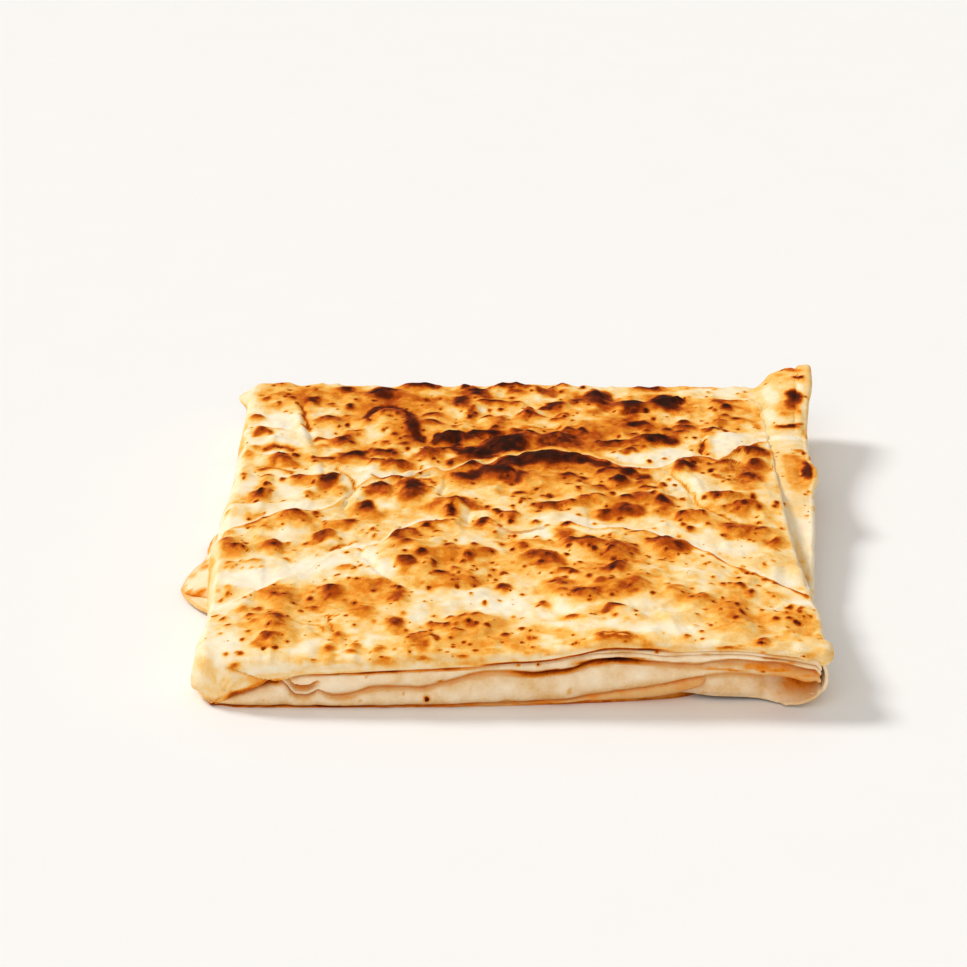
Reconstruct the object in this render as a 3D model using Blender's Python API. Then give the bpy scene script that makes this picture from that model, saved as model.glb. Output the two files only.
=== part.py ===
"""A gozleme: one thin sheet of dough folded over and over into a flat rectangular packet and
baked on a griddle. It is modelled as one closed solid, in metres, +Z up, with its front, where
the folded layers show, towards -Y. The origin is the middle of its bounding box, at the base.

The solid is a grid for the upper face, a stack of rings that runs down round its four sides, and
a flat base inside the lowest ring. Each side has its own profile of rings, so the fold lines of
the front, the strip folded over on the right and the flap at the left all come from one rule.
Sizes below are in millimetres, in the packet's plan, whose centre is (0, 0)."""

import bmesh
import bpy
import numpy as np

MM = 0.001

# The upper face, where the sides start to round over.
LEFT, RIGHT = -92.0, 88.5
FRONT, BACK = -100.5, 114.5
CORNER_PULL = 0.020
CORNER_SHARPNESS = 16
COLUMNS, ROWS = 42, 46

# Height of the upper face at the four corners and the four sides' middles, left to right.
HEIGHTS_FRONT = (18.0, 18.6, 22.0, 19.8)
HEIGHTS_MIDDLE = (17.6, 18.6, 19.4, 18.6)
HEIGHTS_BACK = (17.2, 17.6, 18.2, 18.6)
HEIGHT_STATIONS = (-92.0, -30.0, 35.0, 88.0)

# One leaf of dough: how far a leaf's edge stands over the leaf behind it.
LEAF = 1.1
EDGE_WIDTH = 3.5

# Back edges of the two upper leaves, as (x, y).
MIDDLE_LEAF = (
    (-95, 12),
    (-60, 20),
    (-40, 32),
    (-27, 38),
    (-15, 43),
    (10, 56),
    (28, 51),
    (45, 39),
    (60, 52),
    (75, 55),
    (95, 68),
)
FRONT_LEAF = (
    (-95, -72),
    (-72, -50),
    (-46, -27),
    (-30, -12),
    (0, -12),
    (30, -8),
    (52, -17),
    (73, -40),
    (95, -66),
)

# Fold lines of the front side, as (x, height): the lower edges of the upper sheet, of the
# second fold and of the thick third fold.
LIP_LINE = (
    (-98, 12.5),
    (-83, 12.2),
    (-72, 10.4),
    (-60, 12.0),
    (-25, 14.4),
    (0, 16.2),
    (30, 20.0),
    (60, 19.6),
    (74, 19.4),
    (92, 16.6),
)
SECOND_LINE = (
    (-98, 2.2),
    (-91, 2.2),
    (-80, 6.4),
    (-69, 8.6),
    (-63, 5.6),
    (-50, 5.0),
    (-43, 7.4),
    (-18, 9.8),
    (0, 12.6),
    (12, 13.4),
    (30, 17.2),
    (50, 15.0),
    (92, 14.6),
)
THIRD_LINE = (
    (-98, 0.8),
    (-40, 0.9),
    (-10, 1.3),
    (20, 2.2),
    (45, 4.0),
    (53, 6.0),
    (60, 10.4),
    (88, 9.8),
    (95, 9.0),
)
# How far back the lower edges of the front lie behind its foremost line.
HOLLOW = ((-98, 4.5), (0, 5.0), (14, 6.0), (27, 9.0), (38, 6.0), (95, 5.0))
TUCK = ((-98, 3.4), (-40, 3.4), (20, 5.0), (50, 7.0), (58, 10.5), (84, 10.5), (95, 6.0))

# The strip folded over on the right, by y: how far it reaches beyond the upper face, the height of
# its rim, and how far its crest stands over the upper face.
STRIP_REACH = (
    (-110, 1.6),
    (-62, 1.8),
    (-40, 6.5),
    (0, 10.6),
    (28, 12.6),
    (40, 15.0),
    (50, 14.2),
    (60, 12.6),
    (95, 17.4),
    (108, 19.6),
    (118, 18.4),
)
STRIP_RIM = (
    (-110, 12.0),
    (-40, 11.0),
    (0, 12.5),
    (30, 16.0),
    (42, 18.0),
    (60, 15.5),
    (95, 20.0),
    (108, 24.4),
    (118, 26.0),
)
STRIP_CREST = ((-110, 0.0), (-60, 0.2), (30, 1.2), (60, 1.0), (95, 2.6), (118, 6.0))
STRIP_FULL = 8.0

# The flap that pokes out low at the left, as (y, reach).
FLAP_REACH = (
    (-120, 0.0),
    (-96, 1.2),
    (-60, 1.6),
    (-40, 3.0),
    (-26, 11.5),
    (-16, 11.5),
    (0, 6.0),
    (14, 1.4),
    (120, 0.0),
)

# Blisters of the upper face, as (x, y, radius, height), and the ripples of the left edge.
BLISTERS = (
    (-47, 73, 17, 1.6),
    (-3, 62, 12, 1.0),
    (-20, 10, 16, 0.8),
    (30, 28, 20, 0.9),
    (-30, -42, 16, 0.9),
    (70, 20, 18, 0.9),
    (20, -50, 22, 0.8),
)
RIPPLE_HEIGHT = 0.5
RIPPLE_LENGTH = 13.0

ROUND_OVER = 3.0
BLEND = 9.0


def through(points):
    """A smooth curve through a short list of (position, value) points, as a function."""
    at, value = (np.array(column, dtype=float) for column in zip(*points))
    slope = np.gradient(value, at)

    def read(where):
        where = np.clip(np.asarray(where, dtype=float), at[0], at[-1])
        i = np.clip(np.searchsorted(at, where) - 1, 0, len(at) - 2)
        span = at[i + 1] - at[i]
        t = (where - at[i]) / span
        bend_in = (2 * t**3 - 3 * t**2 + 1) * value[i] + (t**3 - 2 * t**2 + t) * span * slope[i]
        bend_out = (3 * t**2 - 2 * t**3) * value[i + 1] + (t**3 - t**2) * span * slope[i + 1]
        return bend_in + bend_out

    return read


def smooth_step(value):
    value = np.clip(value, 0.0, 1.0)
    return value * value * (3 - 2 * value)


def mix(a, b, share):
    return a + (b - a) * share


front_height = through(tuple(zip(HEIGHT_STATIONS, HEIGHTS_FRONT)))
middle_height = through(tuple(zip(HEIGHT_STATIONS, HEIGHTS_MIDDLE)))
back_height = through(tuple(zip(HEIGHT_STATIONS, HEIGHTS_BACK)))
middle_leaf = through(MIDDLE_LEAF)
front_leaf = through(FRONT_LEAF)
lip_line = through(LIP_LINE)
second_line = through(SECOND_LINE)
third_line = through(THIRD_LINE)
hollow = through(HOLLOW)
tuck = through(TUCK)
strip_reach = through(STRIP_REACH)
strip_rim = through(STRIP_RIM)
strip_crest = through(STRIP_CREST)
flap_reach = through(FLAP_REACH)


def top_height(x, y):
    """Height of the upper face: the packet's own thickness, the steps of the two leaves that lie
    on it, the blisters and the ripples of the left edge."""
    toward_back = (y - FRONT) / (BACK - FRONT)
    front_half = mix(front_height(x), middle_height(x), smooth_step(toward_back * 2))
    height = mix(front_half, back_height(x), smooth_step(toward_back * 2 - 1))
    height += LEAF * smooth_step((middle_leaf(x) - y) / EDGE_WIDTH)
    height += LEAF * smooth_step((front_leaf(x) - y) / EDGE_WIDTH)
    height -= 2 * LEAF * smooth_step(1 - toward_back * 1.6)
    for at_x, at_y, radius, rise in BLISTERS:
        away = np.hypot(x - at_x, y - at_y) / radius
        height += rise * smooth_step(1 - away)
    near_left = smooth_step((-62 - x) / 20) * smooth_step((y - 8) / 20)
    return height + RIPPLE_HEIGHT * near_left * np.sin(2 * np.pi * y / RIPPLE_LENGTH)


def plan_point(u, v):
    """Plan position of the upper face at (u, v), both from -1 to 1, with its corners rounded."""
    u_round = u * (1 - CORNER_PULL * np.abs(v) ** CORNER_SHARPNESS)
    v_round = v * (1 - CORNER_PULL * np.abs(u) ** CORNER_SHARPNESS)
    y = mix(FRONT, BACK, (v_round + 1) / 2)
    bulge = 3.6 * smooth_step((-38 - y) / 40)
    x = mix(LEFT, RIGHT + bulge, (u_round + 1) / 2)
    return x, y


def front_profile(x, top):
    """The front side: the upper sheet's lip, the second fold, the thick third fold and, under
    its lifted right end, the layer set back behind it."""
    lip = np.minimum(lip_line(x), top - 1.8)
    second = np.minimum(second_line(x), lip - 1.8)
    third = np.minimum(third_line(x), second - 1.4)
    return (
        (0.0, top),
        (2.1, mix(top, lip, 0.22)),
        (ROUND_OVER, mix(top, lip, 0.6)),
        (ROUND_OVER - 0.8, lip),
        (ROUND_OVER - 4.5, lip - 0.45),
        (ROUND_OVER - 1.8, mix(lip, second, 0.3)),
        (ROUND_OVER - 1.3, mix(lip, second, 0.75)),
        (ROUND_OVER - 2.1, second),
        (ROUND_OVER - hollow(x), second - 0.4),
        (ROUND_OVER - 2.0, mix(second, third, 0.32)),
        (ROUND_OVER - 1.2, mix(second, third, 0.74)),
        (ROUND_OVER - 2.0, third),
        (ROUND_OVER - tuck(x), third * 0.62),
        (ROUND_OVER - tuck(x) - 0.6, 0.0 * x),
    )


def right_profile(y, top):
    """The right side: the upper sheet's edge, a groove, the folded-over strip that slopes down
    and out to its rim, and the layers below it."""
    reach = strip_reach(y)
    full = smooth_step((reach - 1.5) / STRIP_FULL)
    rim = mix(top - 4.0, strip_rim(y), full)
    crest = top + strip_crest(y) * full
    return (
        (0.0, top),
        (1.6, top - 0.5),
        (mix(2.1, 2.3, full), mix(top - 1.1, top - 1.9, full)),
        (mix(2.4, 3.2, full), mix(top - 1.6, top - 0.5, full)),
        (mix(2.7, 0.45 * reach + 1.6, full), mix(top - 2.4, mix(crest, rim, 0.30), full)),
        (mix(2.9, 0.8 * reach + 1.2, full), mix(top - 3.2, mix(crest, rim, 0.72), full)),
        (mix(3.0, reach + ROUND_OVER - 1.4, full), rim),
        (mix(2.9, reach + ROUND_OVER - 2.2, full), rim - 1.4),
        (mix(2.2, 0.5 * reach + 0.6, full), mix(top - 6.0, rim - 1.8, full)),
        (mix(3.0, 0.25 * reach + 1.6, full), 8.4 + 0.0 * y),
        (mix(3.4, 0.30 * reach + 2.0, full), 6.0 + 0.0 * y),
        (mix(2.6, 0.22 * reach + 1.4, full), 3.6 + 0.0 * y),
        (mix(2.8, 0.22 * reach + 1.8, full), 1.6 + 0.0 * y),
        (1.2 + 0.1 * reach, 0.0 * y),
    )


def left_profile(y, top):
    """The left side: two rounded folds and, low down, the flap."""
    flap = flap_reach(y)
    return (
        (0.0, top),
        (1.9, top - 0.7),
        (2.8, top - 2.4),
        (3.1, top - 4.6),
        (2.3, top - 6.6),
        (3.3, top - 7.6),
        (3.4, mix(top, 6.8, 0.82)),
        (3.0, 6.8 + 0.0 * y),
        (1.8, 5.7 + 0.0 * y),
        (3.4 + 0.25 * flap, 4.8 + 0.0 * y),
        (3.6 + 0.60 * flap, 4.0 + 0.0 * y),
        (ROUND_OVER + 0.5 + flap, 2.7 + 0.0 * y),
        (3.0 + 0.7 * flap, 1.0 + 0.0 * y),
        (1.6, 0.0 * y),
    )


def back_profile(x, top):
    """The back side: the sheet folded over in one broad round, with one layer under it."""
    return (
        (0.0, top),
        (1.8, top - 0.6),
        (2.8, top - 1.9),
        (3.4, top - 3.6),
        (3.7, top - 5.4),
        (3.6, top - 7.2),
        (3.2, mix(top, 6.4, 0.76)),
        (2.5, mix(top, 6.4, 0.90)),
        (1.2, 6.4 + 0.0 * x),
        (2.4, 5.5 + 0.0 * x),
        (2.9, 4.1 + 0.0 * x),
        (2.8, 2.6 + 0.0 * x),
        (2.3, 1.1 + 0.0 * x),
        (1.4, 0.0 * x),
    )


def upper_face():
    """The grid of the upper face, as arrays of x, y and z, one row for each station from the
    front to the back."""
    u, v = np.meshgrid(np.linspace(-1, 1, COLUMNS + 1), np.linspace(-1, 1, ROWS + 1))
    x, y = plan_point(u, v)
    return x, y, top_height(x, y)


def rim_indices():
    """The grid's border, anticlockwise from the front left corner, as (row, column) pairs."""
    front = [(0, i) for i in range(COLUMNS)]
    right = [(j, COLUMNS) for j in range(ROWS)]
    back = [(ROWS, i) for i in range(COLUMNS, 0, -1)]
    left = [(j, 0) for j in range(ROWS, 0, -1)]
    return front + right + back + left


def outward(x, y):
    """Unit vectors that point out of a closed anticlockwise ring."""
    run_x = np.roll(x, -1) - np.roll(x, 1)
    run_y = np.roll(y, -1) - np.roll(y, 1)
    length = np.hypot(run_x, run_y)
    return run_y / length, -run_x / length


def side_shares(x, y):
    """How much each side's profile counts at each point of the border, from 0 to 1."""
    front = smooth_step((FRONT + BLEND - y) / BLEND)
    back = smooth_step((y - BACK + BLEND) / BLEND)
    left = smooth_step((LEFT + BLEND - x) / BLEND)
    right = smooth_step((x - RIGHT + BLEND) / BLEND)
    shares = np.array([front, right, back, left]) + 1e-9
    return shares / shares.sum(axis=0)


def side_rings(x, y, top):
    """The rings of the four sides, from the upper face's border down to the base."""
    out_x, out_y = outward(x, y)
    profiles = (
        front_profile(x, top),
        right_profile(y, top),
        back_profile(x, top),
        left_profile(y, top),
    )
    shares = side_shares(x, y)
    rings = []
    for level in range(1, len(profiles[0])):
        reach = sum(share * profile[level][0] for share, profile in zip(shares, profiles))
        height = sum(share * profile[level][1] for share, profile in zip(shares, profiles))
        rings.append((x + out_x * reach, y + out_y * reach, height))
    return rings


def build_mesh():
    x, y, z = upper_face()
    mesh = bmesh.new()
    grid = [[mesh.verts.new(point) for point in zip(*row)] for row in zip(x, y, z)]
    for j in range(ROWS):
        for i in range(COLUMNS):
            mesh.faces.new((grid[j][i], grid[j][i + 1], grid[j + 1][i + 1], grid[j + 1][i]))

    border = rim_indices()
    above = [grid[j][i] for j, i in border]
    border_x, border_y, border_z = (np.array([a[j, i] for j, i in border]) for a in (x, y, z))
    for ring_x, ring_y, ring_z in side_rings(border_x, border_y, border_z):
        below = [mesh.verts.new(point) for point in zip(ring_x, ring_y, ring_z)]
        for i in range(len(below)):
            after = (i + 1) % len(below)
            mesh.faces.new((above[after], above[i], below[i], below[after]))
        above = below
    mesh.faces.new(above[::-1])
    return mesh


def stand_on_origin(mesh):
    """Moves the packet so that its bounding box's middle is over the origin, with its base at
    height 0, and takes it from millimetres to metres."""
    points = np.array([vertex.co for vertex in mesh.verts])
    low, high = points.min(axis=0), points.max(axis=0)
    middle = (low + high) / 2
    for vertex in mesh.verts:
        vertex.co.x -= middle[0]
        vertex.co.y -= middle[1]
        vertex.co *= MM


def baked_dough():
    """Pale wheat dough, dry and dull from the griddle."""
    material = bpy.data.materials.new("baked_dough")
    material.use_nodes = True
    shader = material.node_tree.nodes["Principled BSDF"]
    shader.inputs["Base Color"].default_value = (0.72, 0.50, 0.27, 1.0)
    shader.inputs["Roughness"].default_value = 0.62
    shader.inputs["Metallic"].default_value = 0.0
    return material


def make_gozleme():
    shape = build_mesh()
    stand_on_origin(shape)
    bmesh.ops.triangulate(shape, faces=shape.faces)
    mesh = bpy.data.meshes.new("gozleme")
    shape.to_mesh(mesh)
    shape.free()
    mesh.shade_smooth()
    mesh.set_sharp_from_angle(angle=np.radians(40))
    mesh.materials.append(baked_dough())
    gozleme = bpy.data.objects.new("gozleme", mesh)
    bpy.context.scene.collection.objects.link(gozleme)


for leftover in list(bpy.data.objects):
    bpy.data.objects.remove(leftover, do_unlink=True)

make_gozleme()
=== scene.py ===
"""The looks of a gozleme: a thin sheet of dough folded over and over into a flat packet and baked
dry on a griddle. Lengths are millimetres in the packet's plan (x to the right, y to the back,
0 at the base), and the last step of each piece takes them to the frame's metres."""

import bpy
import numpy as np
from mathutils import Matrix, Vector


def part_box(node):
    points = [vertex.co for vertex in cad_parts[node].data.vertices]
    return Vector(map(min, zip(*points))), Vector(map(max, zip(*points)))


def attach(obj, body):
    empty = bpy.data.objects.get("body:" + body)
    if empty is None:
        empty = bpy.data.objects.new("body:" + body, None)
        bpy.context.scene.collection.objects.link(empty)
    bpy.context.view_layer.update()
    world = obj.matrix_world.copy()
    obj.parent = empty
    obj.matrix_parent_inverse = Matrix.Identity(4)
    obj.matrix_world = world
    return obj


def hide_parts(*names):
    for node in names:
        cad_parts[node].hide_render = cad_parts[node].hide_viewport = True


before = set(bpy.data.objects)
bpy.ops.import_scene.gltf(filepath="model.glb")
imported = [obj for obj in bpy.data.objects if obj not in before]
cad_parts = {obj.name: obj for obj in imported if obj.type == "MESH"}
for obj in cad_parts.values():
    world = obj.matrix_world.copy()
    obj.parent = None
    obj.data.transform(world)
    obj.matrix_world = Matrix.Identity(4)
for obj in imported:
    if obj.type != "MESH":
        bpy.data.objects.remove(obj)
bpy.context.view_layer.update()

bl_info = {
    "name": "Gozleme",
    "version": (1, 0, 0),
    "blender": (4, 5, 0),
    "location": "View3D > Sidebar > Gozleme",
    "description": "Builds the folded and baked dough packet and its stage",
    "category": "Mesh",
}

MM = 0.001
SEED = 11
BLISTERS, FRECKLES = 420, 300  # small ones, scattered at random
# Columns of the upper sheet's two halves, and rows of each run between their edges.
BACK_GRID = 300, (150,)
FRONT_GRID = 296, (116, 66)
# The plan's zero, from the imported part's lowest corner.
CAD_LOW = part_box("gozleme")[0]
PLAN_ZERO = Vector((CAD_LOW.x + 0.10746, CAD_LOW.y + 0.10350, CAD_LOW.z))
# The camera: its place in the plan, degrees down from level and of roll, and lens in millimetres.
EYE = (-9.51, -905.24, 419.73)
EYE_PITCH, EYE_ROLL, EYE_LENS = 23.253, 0.5678, 111.7

# ---- working tools ---------------------------------------------------------------------------


def smooth_step(value):
    value = np.clip(value, 0.0, 1.0)
    return value * value * (3 - 2 * value)


def rising(value, start, run):
    """0 up to start, then smoothly to 1 over the run after it."""
    return smooth_step((value - start) / run)


def falling(value, end, run):
    """1 until a run before end, then smoothly to 0 at end."""
    return smooth_step((end - value) / run)


def hump(value, at, width):
    """1 at one value, fading to 0 on both sides of it."""
    return np.exp(-(((value - at) / width) ** 2))


def mix(a, b, share):
    return a + (b - a) * share


def through(points):
    """A smooth curve through a short list of (position, value) points, as a function."""
    at, value = (np.array(column, dtype=float) for column in zip(*points))
    slope = np.gradient(value, at)

    def read(where):
        where = np.clip(np.asarray(where, dtype=float), at[0], at[-1])
        i = np.clip(np.searchsorted(at, where) - 1, 0, len(at) - 2)
        span = at[i + 1] - at[i]
        t = (where - at[i]) / span
        start = (2 * t**3 - 3 * t**2 + 1) * value[i] + (t**3 - 2 * t**2 + t) * span * slope[i]
        end = (3 * t**2 - 2 * t**3) * value[i + 1] + (t**3 - t**2) * span * slope[i + 1]
        return start + end

    return read


def grain(x, y, size, seed):
    """Smooth random relief, from -1 to 1, with bumps about `size` across."""
    table = np.random.default_rng(SEED * 1000 + seed).uniform(-1, 1, (256, 256))
    u, v = np.asarray(x) / size + 512.0, np.asarray(y) / size + 512.0
    i, j = np.floor(u).astype(int), np.floor(v).astype(int)
    s, t = smooth_step(u - i), smooth_step(v - j)
    i, j, k, m = i % 256, j % 256, (i + 1) % 256, (j + 1) % 256
    return mix(mix(table[i, j], table[k, j], s), mix(table[i, m], table[k, m], s), t)


def crinkle(x, y, size, seed):
    """Thin wandering ridges, such as a drying skin of dough gets."""
    return np.clip(1 - 1.6 * np.abs(grain(x, y, size, seed)), 0, 1) ** 2 - 0.3


def to_route(x, y, points):
    """Distance from each place to a route of straight runs between points."""
    nearest = np.full(np.shape(x), 1e9)
    for (ax, ay), (bx, by) in zip(points, points[1:]):
        run_x, run_y = bx - ax, by - ay
        share = ((x - ax) * run_x + (y - ay) * run_y) / (run_x**2 + run_y**2)
        share = np.clip(share, 0, 1)
        nearest = np.minimum(nearest, np.hypot(x - ax - share * run_x, y - ay - share * run_y))
    return nearest


def near(x, y, spot, spread=1.0, arch=0.0, crisp=1.25):
    """The places inside a spot's box, and each one's distance from its middle in spot radii. The
    spot is arched to the back, and its back edge is crisper than its front one."""
    at_x, at_y, wide, deep = spot[:4]
    reach_x, reach_y = wide * spread, deep * spread * (1 + arch)
    inside = np.nonzero((np.abs(x - at_x) < reach_x) & (np.abs(y - at_y) < reach_y))
    off_x, off_y = (x[inside] - at_x) / (wide / 2), (y[inside] - at_y) / (deep / 2)
    off_y = off_y + arch * (off_x**2 - 0.35)
    return inside, np.hypot(off_x, np.where(off_y > 0, off_y * crisp, off_y * 0.85))


def shares_of(rows, columns):
    """Shares of the way along a sheet's rows (v) and across its columns (u)."""
    return np.linspace(0, 1, rows)[:, None], np.linspace(0, 1, columns)[None, :]


# ---- the packet's outline and heights ------------------------------------------------------

# Places on the upper face are written as they lie on the level plane at this height, looked at
# from the stage's viewpoint; slant() says how far a rise of 1 mm moves such a place back.
PLANE = 19.0
FACE_FRONT, FACE_DEPTH = -102.0, 220.0
PACKET_LEFT, PACKET_RIGHT = -94.6, 93.0
BACK_FOLD = 3.6  # how far the lower folds stand behind the back line

# Heights of the upper face from left to right: along its front, its middle and its back.
front_height = through(((-92, 17.6), (-30, 18.4), (35, 21.6), (88, 19.6)))
middle_height = through(((-92, 17.4), (-30, 18.4), (35, 19.2), (88, 18.4)))
back_height = through(((-92, 17.2), (-30, 17.6), (35, 18.2), (88, 18.4)))

# The outline: y of the front and back by x, and x of the two rims by y.
front_line = through((
    (-98, -103.5), (-60, -103), (-20, -102), (10, -100.5), (30, -99.2), (60, -99), (80, -100), (94, -101),
))
back_line = through(((-98, 116), (-60, 117), (0, 118), (60, 118.6), (92, 119)))
left_rim = through((
    (-110, -92.6), (-80, -92.4), (-40, -92.8), (-8, -92.0), (10, -91.2), (60, -91.0), (120, -91.6),
))
right_rim = through((
    (-110, 92.8), (-90, 92.8), (-75, 92.6), (-60, 91.8), (-45, 90.8), (-20, 89.8), (60, 89.6), (120, 89.2),
))
# The outermost line of the left side, as (y, x).
left_out = through((
    (-106, -95.4), (-99, -96.0), (-93, -95.8), (-85, -97.6), (-81, -97.0), (-72, -95.3), (-66, -95.2),
    (-57, -94.9), (-50, -96.2), (-40, -97.5), (-26, -98.6), (-12, -98.3), (-2, -97.6), (17, -98.2),
    (24, -97.3), (42, -97.0), (66, -96.8), (95, -96.8), (104, -96.6), (112, -96.0), (120, -95.6),
))

# Lower edges of the folds along the front, as (x, height).
lip_line = through((
    (-98, 3.0), (-95, 2.2), (-91, 1.8), (-88, 3.7), (-84, 5.7), (-80, 7.2), (-75, 9.1), (-71, 10.6),
    (-68, 11.0), (-62, 12.5), (-55, 13.0), (-45, 13.4), (-35, 14.2), (-25, 14.6), (-15, 14.9), (-5, 15.7),
    (0, 16.0), (10, 16.7), (20, 18.6), (30, 20.2), (40, 19.9), (50, 19.3), (60, 19.7), (70, 20.0),
    (76, 19.4), (80, 18.9), (84, 19.0), (88, 19.2), (91, 18.8), (94, 17.6), (96, 16.6),
))
layer_line = through((
    (-98, 2.6), (-70, 10.2), (-30, 14.2), (0, 15.6), (10, 16.1), (20, 17.3), (30, 18.0), (38, 17.7),
    (47, 16.6), (53, 17.1), (59, 17.5), (71, 17.5), (78, 16.9), (86, 15.9), (92, 14.8), (96, 13.6),
))
second_line = through((
    (-98, 2.0), (-75, 8.4), (-70, 9.7), (-68.4, 8.8), (-67.2, 7.0), (-66, 5.4), (-64, 4.9), (-61.6, 5.0),
    (-59.8, 5.9), (-58.8, 6.5), (-57.4, 5.8), (-55.7, 4.8), (-52, 4.4), (-48, 5.2), (-44, 6.7), (-35, 7.4),
    (-25, 7.6), (-22, 8.5), (-18, 9.5), (-12, 11.3), (-7, 12.1), (0, 12.0), (5, 11.6), (10, 11.9),
    (18, 12.9), (25, 15.5), (30, 15.9), (38, 15.2), (44, 14.6), (50, 14.0), (55, 14.0), (61, 15.0),
    (67, 15.5), (72, 15.3), (80, 15.3), (86.6, 14.0), (92.4, 13.4), (96, 13.4),
))
third_line = through((
    (-98, 0.5), (-40, 0.5), (-10, 1.0), (20, 2.6), (28, 3.9), (38, 5.4), (46, 7.0), (52, 8.5), (57, 9.7),
    (65, 10.7), (76, 10.4), (84, 10.0), (88.4, 9.0), (92.5, 10.0), (96, 10.2),
))
fourth_line = through((
    (-98, 0.2), (-40, 0.2), (-10, 0.5), (0, 0.8), (20, 1.0), (35, 1.3), (45, 2.2), (52, 3.9), (56, 5.4),
    (60, 7.2), (64, 9.6), (72, 9.8), (80, 9.6), (88, 8.6), (96, 9.6),
))
# How far the stack's foot stands back from the front line.
foot_line = through(((-98, 2.0), (-40, 2.2), (10, 3.0), (40, 5.0), (52, 7.5), (60, 12.0), (98, 14.0)))
# The two creases of the pinched corner at the front left, as (x, height).
upper_crease = through((
    (-90, 14.2), (-88, 13.9), (-86.3, 13.6), (-82.6, 12.8), (-78.1, 11.4), (-73.3, 10.2), (-70, 9.4),
))
lower_crease = through(((-99, 3.0), (-96.5, 5.0), (-91.7, 6.3), (-87.7, 6.5), (-83.8, 6.4), (-80, 6.4)))

# The edges of the two leaves that lie over the back of the face.
middle_edge = through((
    (-98, -18), (-95, -16), (-90, -11), (-86, -8), (-81, -3), (-78, -0.5), (-74, 0.5), (-68, 1.5), (-63, 4),
    (-59, 8), (-56, 13), (-53, 20), (-50, 27), (-46.5, 30), (-42, 31.5), (-38, 31.5), (-33, 35), (-30, 38),
    (-27, 39.5), (-24, 38), (-22, 38), (-18, 42), (-14, 44), (-8, 45), (-5, 47), (-3, 49.5), (0, 51),
    (3, 51), (5, 53), (8, 55.5), (12, 56.5), (16, 56), (19, 54.5), (22, 53.5), (27, 52.5), (30, 50),
    (33, 47), (36, 44), (40, 43), (42, 42), (45, 41), (49, 42), (52, 44), (55, 46.5), (58, 49), (60, 52),
    (63, 54), (66, 54.5), (69, 52.5), (71, 51), (73, 52), (75, 54), (79, 60), (83, 63), (86, 66),
    (90, 67.5), (96, 69),
))
front_edge = through((
    (-98, -79), (-95, -76), (-90, -71), (-84, -64), (-78, -57), (-75, -53), (-70, -47.5), (-66, -43),
    (-62, -37), (-58, -31), (-52, -27), (-47, -26), (-44, -22), (-40, -19), (-37, -12), (-33, -7),
    (-27, -4), (-20, -3), (-12, -4), (-5, -8), (3, -10), (10, -8), (15, -5), (17, -4.2), (19.5, -5),
    (22, -7), (26, -8.3), (32, -8), (37, -7.8), (40, -9), (44, -11), (48, -14), (52, -17), (55, -19),
    (58, -22), (62, -26), (66, -31), (70, -36), (74, -39.5), (77, -42), (80, -45), (84, -50), (88, -55),
    (93, -60), (97, -64),
))
# How much of a leaf's thickness shows at its edge, along x.
middle_step = through((
    (-98, 0.5), (-70, 0.8), (-58, 0.7), (-40, 1.0), (-10, 1.5), (8, 1.5), (30, 1.1), (45, 1.0), (62, 1.3),
    (84, 1.0), (96, 0.8),
))
front_step = through((
    (-98, 0.6), (-80, 0.9), (-50, 1.2), (-35, 1.1), (-22, 0.7), (-14, 0.0), (13, 0.0), (18, 0.9), (45, 1.2),
    (75, 1.0), (88, 0.7), (97, 0.4),
))

# ---- browning ------------------------------------------------------------------------------

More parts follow.
